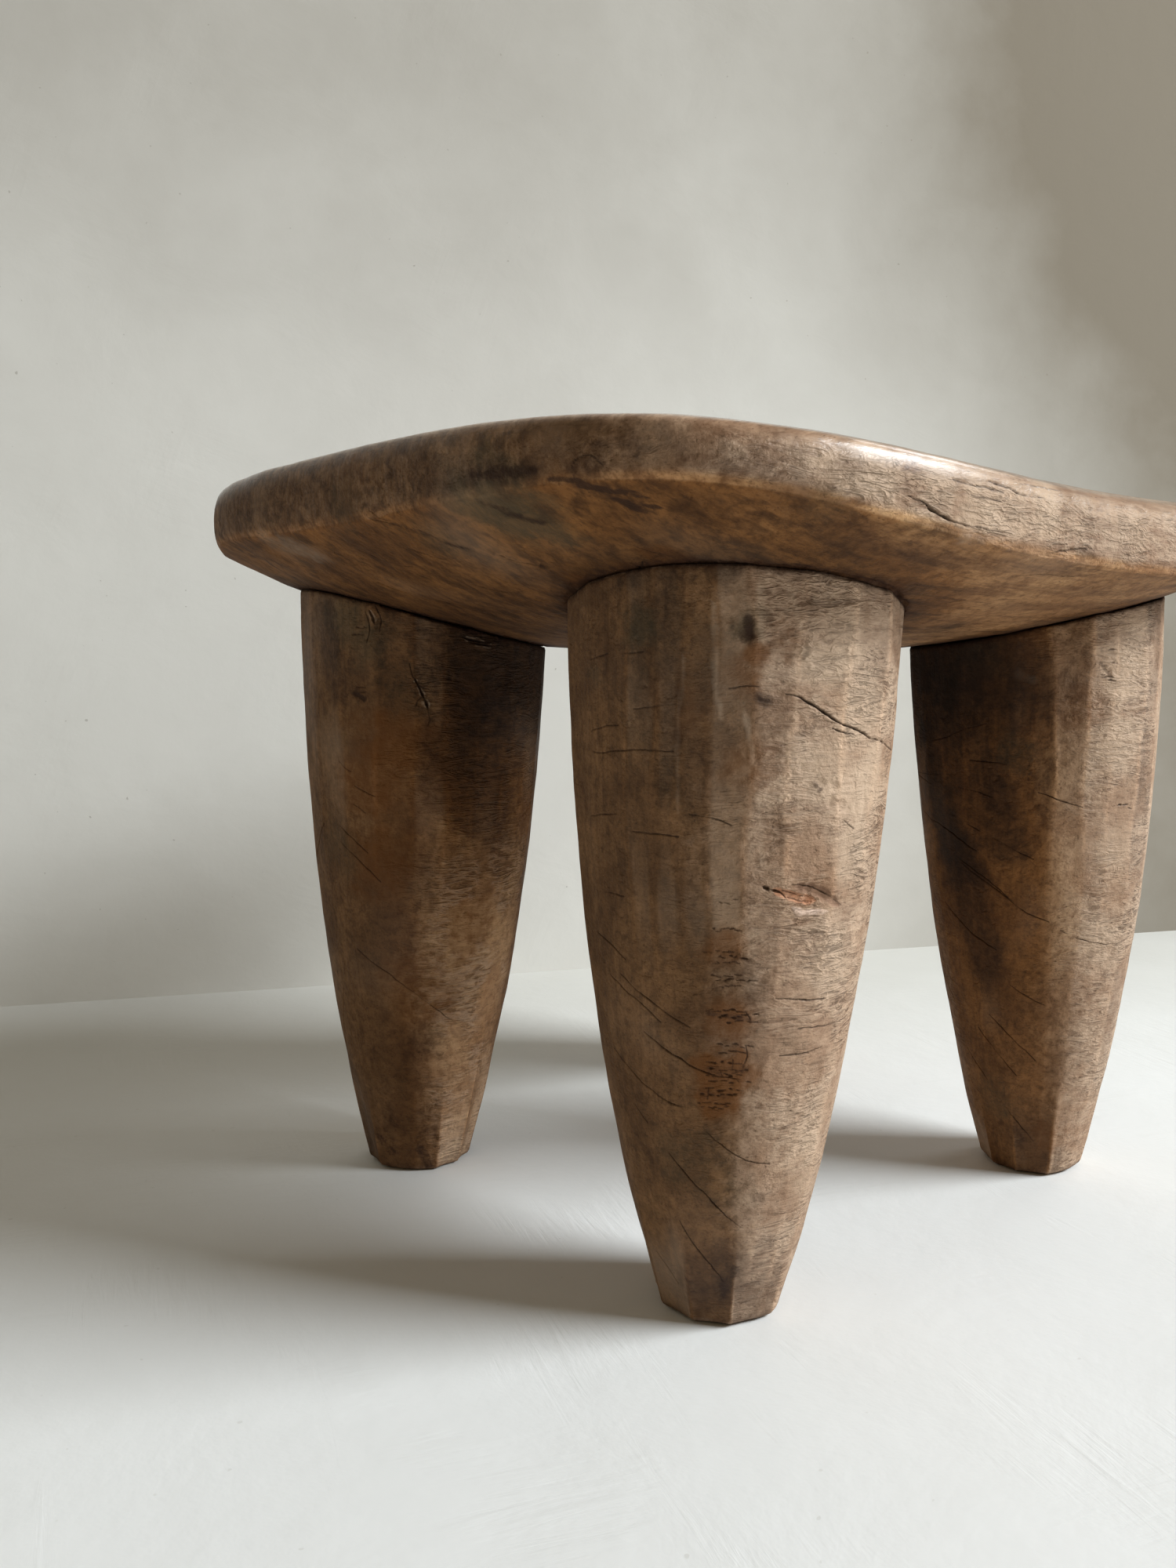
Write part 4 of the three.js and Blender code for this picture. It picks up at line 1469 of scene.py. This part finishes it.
# %% Group: wood figure
figure, figure_in, figure_out = start_group(
    "wood_figure",
    [("Place", "Vector", None)],
    [("Fibre", "Float"), ("Fleck", "Float"), ("Streak", "Float"), ("Ring", "Float"),
     ("Blotch", "Float"), ("Mottle", "Float"), ("Pore", "Float")],
)
place = figure_in.outputs["Place"]
parts = {
    "Fibre": cloud(figure, place, (130, 800, 950), 4.0, 0.62),
    "Fleck": cloud(figure, place, (130, 420, 480), 5.0, 0.68, 0.6),
    "Streak": cloud(figure, place, (16, 170, 230), 5.0, 0.6, 0.4),
    "Blotch": cloud(figure, place, (30, 38, 32), 6.0, 0.6, 0.6),
    "Mottle": cloud(figure, place, (260, 330, 260), 4.0, 0.62, 0.4),
    "Pore": cloud(figure, place, (380, 1300, 1300), 2.0, 0.5),
}
spread = add_node(figure, "SeparateXYZ", {0: place})
aside = maths(figure, "SUBTRACT", spread.outputs["Y"], heart.y)
above = maths(figure, "SUBTRACT", spread.outputs["Z"], heart.z)
from_heart = maths(figure, "SQRT", maths(figure, "ADD", maths(figure, "MULTIPLY", aside, aside),
                                         maths(figure, "MULTIPLY", above, above)))
ring_spacing = 0.0042
ring_unevenness = 0.022
uneven_ring = maths(figure, "MULTIPLY_ADD", parts["Blotch"], ring_unevenness, from_heart)
ring_wave = maths(figure, "SINE", maths(figure, "MULTIPLY", uneven_ring, 2 * math.pi / ring_spacing))
parts["Ring"] = maths(figure, "MULTIPLY_ADD", ring_wave, 0.5, 0.5)
for label, value in parts.items():
    figure.links.new(value, figure_out.inputs[label])

# %% [markdown]
# ### Tool marks and lifted fibres
# Where the grain runs along the surface the knife lifted short fibres, like wrinkles, a few
# millimetres long and less than a millimetre apart. On end grain it left smooth wood with fine
# upright scratches. The rim has small dimples as well, long along the grain. All are too small
# for the mesh, so a group gives their height for the bump, and masks with which the material
# paints shade in the hollows and a highlight on the wrinkles' crests.

# %% Group: surface relief
relief, relief_in, relief_out = start_group(
    "wood_relief",
    [("Place", "Vector", None), ("Side Grain", "Float", 0.0), ("Lifted", "Float", 0.0),
     ("Chatter", "Float", 0.0), ("Smoothness", "Float", 0.0)],
    [("Height", "Float"), ("Wrinkle_Highlight", "Float"), ("Furrow_Shade", "Float"), ("Scratch", "Float"),
     ("Dimple_Shade", "Float")],
)
place = relief_in.outputs["Place"]
wrinkle = cloud(relief, place, (55, 80, 250), 2.0, 0.5, 1.4)
curl = cloud(relief, place, (150, 180, 520), 2.0, 0.5, 1.1)
lines = maths(relief, "MULTIPLY_ADD", crests(relief, curl, 9.0), 0.5, crests(relief, wrinkle, 8.0))
wrinkle_zone = range_of(relief, cloud(relief, place, (48, 48, 40), 3.0, 0.6), 0.4, 0.6, 0.2, 1.2)
chatter = range_of(relief, cloud(relief, place, (110, 260, 260), 4.0, 0.6, 0.9), 0.35, 0.7)
dimple = maths(relief, "MULTIPLY", chatter, relief_in.outputs["Chatter"])
scratch = cloud(relief, place, (520, 520, 42), 4.0, 0.62)
grit = cloud(relief, place, (700, 800, 800), 3.0, 0.6)
dent = range_of(relief, cloud(relief, place, (160, 160, 200), 3.0, 0.55), 0.6, 0.75)
side = relief_in.outputs["Side Grain"]
wrinkled_part = maths(relief, "MULTIPLY", relief_in.outputs["Lifted"], wrinkle_zone)
side_wrinkle = maths(relief, "MULTIPLY", lines, wrinkled_part)
valley = range_of(relief, lines, 0.55, 0.0)
side_furrow_shade = maths(relief, "MULTIPLY", valley, wrinkled_part)
end_scratch = maths(relief, "MULTIPLY", scratch, maths(relief, "SUBTRACT", 1.0, side))
height = maths(relief, "MULTIPLY", side_wrinkle, 0.34)
for mark, raised in ((end_scratch, 0.25), (grit, 0.24), (dimple, -0.14), (dent, -0.22)):
    height = maths(relief, "MULTIPLY_ADD", mark, raised, height)
calm = maths(relief, "SUBTRACT", 1.0, relief_in.outputs["Smoothness"])
height = maths(relief, "MULTIPLY", height, maths(relief, "MULTIPLY_ADD", calm, 0.93, 0.07))
relief.links.new(height, relief_out.inputs["Height"])
relief.links.new(side_wrinkle, relief_out.inputs["Wrinkle_Highlight"])
relief.links.new(side_furrow_shade, relief_out.inputs["Furrow_Shade"])
relief.links.new(end_scratch, relief_out.inputs["Scratch"])
relief.links.new(dimple, relief_out.inputs["Dimple_Shade"])

# %% [markdown]
# ### The patina
# A third group lays the stains over the bare wood, in the order in which they came: tone by
# facet, blotches, smoke and damp, rubbed ridges, dirt in the creases, and last the checks, the
# pits and the one chip that shows fresh, orange wood. The smoke patches also paint shade under
# the seat and between the legs, the pale ones paint sheen, the crease dirt and the soles' dark
# edge paint shade, the checks and pits are darkened with painted shade, and the lips and the
# chip's ledge carry a painted highlight.

# %% Group: patina
patina, patina_in, patina_out = start_group(
    "wood_patina",
    [("Wood", "Color", (0.3, 0.2, 0.1, 1)), ("Mottle", "Float", 0.5), ("Fleck", "Float", 0.5)],
    [("Color", "Color"), ("Grime", "Float")],
)
dark_brown = tint(58, 38, 25)
olive_brown = tint(78, 70, 52)
red_brown = tint(112, 68, 28)
rubbed_and_sheen_wood = tint(208, 182, 156)
crease_dirt_and_shade_colour = tint(48, 26, 16)
check_shadow = tint(34, 22, 15)
pit_stain_and_shade = tint(50, 29, 12)
blot_colour = tint(48, 30, 20)
soot_and_shade_colour = tint(24, 14, 8)
fresh_wood = tint(214, 152, 116)
torn_wood = tint(138, 106, 86)
ledge_wood_and_highlight = tint(236, 206, 186)
lighter = (1.8, 1.75, 1.7, 1)

mottle = patina_in.outputs["Mottle"]
fleck = patina_in.outputs["Fleck"]
colour = patina_in.outputs["Wood"]
tone = painted(patina, "tone")
colour = blend(patina, range_of(patina, tone, 0.05, 1.3, 0.0, 0.55), colour, dark_brown)
colour = blend(patina, range_of(patina, tone, -0.05, -1.3, 0.0, 0.35), colour, rubbed_and_sheen_wood)
ragged = maths(patina, "MULTIPLY_ADD", maths(patina, "SUBTRACT", mottle, 0.5), 1.5,
               maths(patina, "MULTIPLY", maths(patina, "SUBTRACT", fleck, 0.5), 1.2))


def stain(colour, name, stain_colour, most, broken_edge=0.4, softness=1.0):
    """Mix a stain in where its patch is painted, with an edge that breaks up along the fibres."""
    patch = painted(patina, name)
    uneven = maths(patina, "MULTIPLY_ADD", ragged, broken_edge, patch)
    broken = range_of(patina, uneven, 0.5 - softness / 2, 0.5 + softness / 2, 0.0, most)
    inside = range_of(patina, patch, 0.0, 0.25)
    return blend(patina, maths(patina, "MULTIPLY", broken, inside), colour, stain_colour)


# Pale patches: rubbed wood and painted sheen
colour = stain(colour, "pale", rubbed_and_sheen_wood, 0.5)
colour = stain(colour, "red", red_brown, 0.75)
colour = stain(colour, "olive", olive_brown, 0.65)
colour = stain(colour, "dark", dark_brown, 0.65)
# Smoke, and painted shade under the seat and between the legs
colour = stain(colour, "soot_and_shade", soot_and_shade_colour, 0.9, 0.2)
colour = stain(colour, "blot", blot_colour, 0.8, 0.5, 0.5)
colour = blend(patina, maths(patina, "MULTIPLY", painted(patina, "wear"), 0.5), colour, lighter, "MULTIPLY")
# Dirt and painted shade in the creases, and painted shade at the soles
dirt_and_shade = maths(patina, "MULTIPLY", painted(patina, "dirt_and_shade"), range_of(patina, mottle, 0.25, 0.6, 0.5, 1.0))
colour = blend(patina, maths(patina, "MULTIPLY", dirt_and_shade, 0.85), colour, crease_dirt_and_shade_colour)
# Torn and fresh wood in the chip; the ledge and the lips also carry a painted highlight
grained = range_of(patina, fleck, 0.35, 0.65, 0.35, 1.0)
for name, opened, most in (("torn", torn_wood, 0.85), ("chip", fresh_wood, 0.95),
                           ("ledge", ledge_wood_and_highlight, 0.85), ("lip", rubbed_and_sheen_wood, 0.35)):
    share = maths(patina, "MULTIPLY", maths(patina, "MULTIPLY", painted(patina, name), grained), most)
    colour = blend(patina, share, colour, opened)
# The pits and checks are painted dark: painted shade in both, and a reddish stain in the pits
for name, shadow, most in (("pit", pit_stain_and_shade, 0.95), ("check", check_shadow, 0.92)):
    colour = blend(patina, maths(patina, "MULTIPLY", painted(patina, name), most), colour, shadow)
patina.links.new(colour, patina_out.inputs["Color"])
patina.links.new(maths(patina, "MAXIMUM", dirt_and_shade, painted(patina, "check")), patina_out.inputs["Grime"])


# %% Wood materials
relief_depth = 1.6 * mm
oil_and_shade_tint = (1.0, 0.79, 0.47, 1)


def wood_material(name, bleached, dusky, polish_gloss, streakiness, furrow_shade_share):
    """Bleached and dusky wood, each as (light, mid, deep), under relief and patina groups; the dusky wood
    also serves as painted shade.
    """
    material = bpy.data.materials.new(name)
    material.use_nodes = True
    tree = material.node_tree
    shader = tree.nodes["Principled BSDF"]
    shader.inputs["Specular IOR Level"].default_value = 0.18
    shader.inputs["Coat Roughness"].default_value = 0.3
    place = add_node(tree, "TexCoord").outputs["Object"]
    grain = use_group(tree, figure, {"Place": place}).outputs
    side = painted(tree, "side_grain")
    polish = painted(tree, "polish")
    rough_face = use_group(tree, relief, {
        "Place": place, "Side Grain": side, "Lifted": painted(tree, "lifted"),
        "Chatter": painted(tree, "chatter"), "Smoothness": polish}).outputs

    blotch = range_of(tree, grain["Blotch"], 0.36, 0.62)
    streak = range_of(tree, grain["Streak"], 0.42, 0.68, 0.0, streakiness)
    fleck = range_of(tree, grain["Fleck"], 0.5, 0.66, 0.0, 0.32)
    mottle = range_of(tree, grain["Mottle"], 0.45, 0.66, 0.0, 0.35)
    scratch = range_of(tree, rough_face["Scratch"], 0.4, 0.62, 0.0, 0.28)
    woods = []
    for light_wood, mid_wood, deep_wood in (bleached, dusky):
        colour = blend(tree, blotch, mid_wood, light_wood)
        for mask in (streak, fleck, mottle, scratch):
            colour = blend(tree, mask, colour, deep_wood)
        woods.append(colour)
    # The dusky wood goes where the wood is unbleached and also where shade falls under the seat and between
    # the legs: partly painted shade
    uneven = maths(tree, "SUBTRACT", grain["Mottle"], 0.5)
    dusk_and_shade = maths(tree, "MULTIPLY_ADD", uneven, 0.5, painted(tree, "dusk_and_shade"))
    colour = blend(tree, range_of(tree, dusk_and_shade, 0.05, 0.95), woods[0], woods[1])
    deep_dusk = dusky[2]
    colour = blend(tree, maths(tree, "MULTIPLY", grain["Ring"], 0.08), colour, deep_dusk)
    colour = blend(tree, range_of(tree, grain["Fibre"], 0.5, 0.72, 0.0, 0.35), colour, deep_dusk)
    colour = blend(tree, range_of(tree, grain["Pore"], 0.62, 0.74, 0.0, 0.55), colour, deep_dusk)
    # Oil, and painted shade, on the underside and the legs' inner sides
    colour = blend(tree, maths(tree, "MULTIPLY", painted(tree, "oiled_and_shaded"), 0.8), colour, oil_and_shade_tint, "MULTIPLY")
    # Painted highlight on the wrinkles' crests where the wood is bleached, and painted shade in their
    # furrows and in the rim's dimples
    sunny = range_of(tree, dusk_and_shade, 0.1, 0.8, 1.0, 0.0)
    wrinkle = range_of(tree, rough_face["Wrinkle_Highlight"], 0.15, 1.1, 0.0, 0.4)
    colour = blend(tree, maths(tree, "MULTIPLY", wrinkle, sunny), colour, bleached[0])
    depth_of_tone = maths(tree, "MULTIPLY_ADD", sunny, furrow_shade_share, 0.3)
    furrow_shade = maths(tree, "MULTIPLY", rough_face["Furrow_Shade"], depth_of_tone)
    colour = blend(tree, furrow_shade, colour, deep_dusk)
    colour = blend(tree, maths(tree, "MULTIPLY", rough_face["Dimple_Shade"], 0.1), colour, deep_dusk)

    stained = use_group(
        tree, patina, {"Wood": colour, "Mottle": grain["Mottle"], "Fleck": grain["Fleck"]}).outputs
    tree.links.new(stained["Color"], shader.inputs["Base Color"])

    dull = maths(tree, "MULTIPLY_ADD", grain["Mottle"], 0.16, 0.64)
    gloss = maths(tree, "MULTIPLY_ADD", polish, -polish_gloss, dull)
    gloss = maths(tree, "MULTIPLY_ADD", stained["Grime"], 0.25, gloss, clamp=True)
    tree.links.new(gloss, shader.inputs["Roughness"])
    tree.links.new(maths(tree, "MULTIPLY", polish, 0.9 * polish_gloss), shader.inputs["Coat Weight"])
    height = maths(tree, "MULTIPLY_ADD", grain["Fibre"], 0.12, rough_face["Height"])
    bump = add_node(tree, "Bump", {"Height": height, "Strength": 1.0, "Distance": relief_depth})
    tree.links.new(bump.outputs["Normal"], shader.inputs["Normal"])
    print(name, len(tree.nodes), "nodes")
    return material


bleached_wood = (tint(196, 168, 143), tint(170, 138, 112), tint(122, 90, 68))
dusky_and_shaded_wood = (tint(136, 100, 66), tint(108, 77, 49), tint(57, 38, 23))
seat_wood = wood_material("seat_wood", bleached_wood, dusky_and_shaded_wood, 0.62, 0.75, -0.15)
leg_wood = wood_material("leg_wood", bleached_wood, dusky_and_shaded_wood, 0.24, 0.22, 0.2)
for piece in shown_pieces():
    piece.data.materials.clear()
    piece.data.materials.append(seat_wood if piece.name.startswith("seat") else leg_wood)

# %% [markdown]
# ## Floor, wall and light
# The stool stands on a pale plaster floor before a plaster wall. Both carry painted shade: the
# floor darkens towards the wall, and the wall to the right and upwards. A large soft window stands
# on the right, towards the camera, so the shadows run long to the left and away. A small one,
# further round to the right, gives only the bright line along the top of the rim. The world
# fills the shadows with a weak warm light, and the camera sees it as a pale, even grey.

# %% Plaster
def plaster_material(name, light, dark, shade_by_place, bump_distance, strokes, see_through_back):
    """Trowelled plaster: mottled and faintly swept, with painted shade given as the darker share by place.
    """
    material = bpy.data.materials.new(name)
    material.use_nodes = True
    tree = material.node_tree
    shader = tree.nodes["Principled BSDF"]
    shader.inputs["Roughness"].default_value = 0.85
    shader.inputs["Specular IOR Level"].default_value = 0.12
    place = add_node(tree, "TexCoord").outputs["Object"]
    wide = cloud(tree, place, (3.5, 3.5, 3.5), 5.0, 0.6, 0.4)
    patchy = cloud(tree, place, (14, 14, 14), 6.0, 0.6, 0.2)
    shade = maths(tree, "MULTIPLY_ADD", wide, 0.3, shade_by_place(tree, place))
    shade = maths(tree, "MULTIPLY_ADD", patchy, 0.22, maths(tree, "SUBTRACT", shade, 0.24), clamp=True)
    colour = blend(tree, shade, light, dark)
    speck = range_of(tree, cloud(tree, place, (260, 260, 260), 1.0, 0.4), 0.78, 0.82, 0.0, 0.4)
    colour = blend(tree, speck, colour, dark)
    height = patchy
    for across, along, seed in ((0.93, 0.37, 0.0), (0.35, -0.94, 4.0)):
        turn = math.atan2(along, across)
        turned = add_node(tree, "Mapping", {0: place, 1: (seed, seed, 0), 2: (0, 0, turn)})
        sweep = cloud(tree, turned.outputs[0], (24, 240, 60), 4.0, 0.6, 0.9)
        swept = range_of(tree, cloud(tree, turned.outputs[0], (8, 14, 9), 4.0, 0.6, 0.6), 0.52, 0.68)
        stroke = maths(tree, "MULTIPLY", maths(tree, "SUBTRACT", sweep, 0.5), swept)
        height = maths(tree, "MULTIPLY_ADD", stroke, strokes, height)
        colour = blend(tree, maths(tree, "MULTIPLY", stroke, 1.5 * strokes, clamp=True), colour, dark)
    tree.links.new(colour, shader.inputs["Base Color"])
    bump = add_node(tree, "Bump", {"Height": height, "Strength": 1.0, "Distance": bump_distance})
    tree.links.new(bump.outputs["Normal"], shader.inputs["Normal"])
    if see_through_back:
        behind = add_node(tree, "NewGeometry").outputs["Backfacing"]
        clear = add_node(tree, "BsdfTransparent").outputs[0]
        mixed = add_node(tree, "MixShader", {0: behind, 1: shader.outputs[0], 2: clear}).outputs[0]
        tree.links.new(mixed, tree.nodes["Material Output"].inputs["Surface"])
    return material


towards_wall = (0.449, 0.893, 0)


# Painted shade: the floor is darker towards the wall
def floor_shade_near_the_wall(tree, place):
    away = add_node(tree, "VectorMath", {0: place, 1: towards_wall}, operation="DOT_PRODUCT")
    return range_of(tree, away.outputs["Value"], -0.05, 0.33, 0.05, 0.8)


def wall_shade_to_the_right(tree, place):
    """Painted shade: the wall is paler low down on the left, and darker to the right and upwards."""
    parts = add_node(tree, "SeparateXYZ", {0: place}).outputs
    across = range_of(tree, parts["X"], 0.54, 0.98, 0.0, 0.9)
    return maths(tree, "ADD", across, range_of(tree, parts["Y"], -0.93, -0.55, 0.0, 0.5))


def stage_sheet(name, width, depth, place, turn, material):
    bm = bmesh.new()
    bmesh.ops.create_grid(bm, x_segments=1, y_segments=1, size=0.5)
    bmesh.ops.scale(bm, verts=bm.verts, vec=(width, depth, 1))
    mesh = mesh_from(bm, name)
    mesh.materials.append(material)
    sheet = bpy.data.objects.new(name, mesh)
    sheet.location = place
    sheet.rotation_euler = turn
    bpy.context.scene.collection.objects.link(sheet)


floor_plaster = plaster_material(
    "floor_plaster", tint(238, 238, 236), tint(206, 204, 197), floor_shade_near_the_wall, 1.0 * mm, 0.32, False)
wall_plaster = plaster_material(
    "wall_plaster", tint(230, 228, 222), tint(136, 127, 113), wall_shade_to_the_right, 0.6 * mm, 0.1, True)
floor_side = 8
stage_sheet("floor", floor_side, floor_side, (0, 0, 0), (0, 0, 0), floor_plaster)

# %% Wall along the line where it meets the floor in the photograph
wall_left = Vector((-1.1, 0.926, 0))
wall_right = Vector((0.64, 0.054, 0))
wall_height = 2.4
wall_way = wall_right - wall_left
wall_turn = math.atan2(wall_way.y, wall_way.x)
wall_middle = (wall_left + wall_right) / 2 + Vector((0, 0, wall_height / 2))
upright = (math.radians(90), 0, wall_turn)
stage_sheet("wall", wall_way.length, wall_height, wall_middle, upright, wall_plaster)

# %% Light
stool_middle = Vector((0, 0, 0.15))
window_colour = (0.9, 0.96, 1.0)
fill_colour = (1.0, 0.81, 0.52, 1)
fill_strength = 0.155
distance_colour = tint(206, 204, 198)

world = bpy.data.worlds.new("world")
bpy.context.scene.world = world
world.use_nodes = True
fill = world.node_tree.nodes["Background"]
fill.inputs["Color"].default_value = fill_colour
fill.inputs["Strength"].default_value = fill_strength
seen = add_node(world.node_tree, "Background", {"Color": distance_colour, "Strength": 1.0})
camera_ray = add_node(world.node_tree, "LightPath").outputs["Is Camera Ray"]
either = add_node(world.node_tree, "MixShader", {0: camera_ray, 1: fill.outputs[0], 2: seen.outputs[0]})
world.node_tree.links.new(either.outputs[0], world.node_tree.nodes["World Output"].inputs["Surface"])


def add_window(name, place, width, height, watts):
    """A soft area light that looks at the middle of the stool."""
    light = bpy.data.lights.new(name, "AREA")
    light.shape = "RECTANGLE"
    light.size = width
    light.size_y = height
    light.energy = watts
    light.color = window_colour
    window = bpy.data.objects.new(name, light)
    window.location = place
    window.rotation_euler = (stool_middle - window.location).to_track_quat("-Z", "Y").to_euler()
    bpy.context.scene.collection.objects.link(window)


add_window("window", (2.36, -2.92, 2.83), 2.2, 1.3, 300)
add_window("side_window", (3.0, 0.05, 2.8), 1.4, 0.8, 17)

bpy.context.scene.view_settings.view_transform = "Standard"
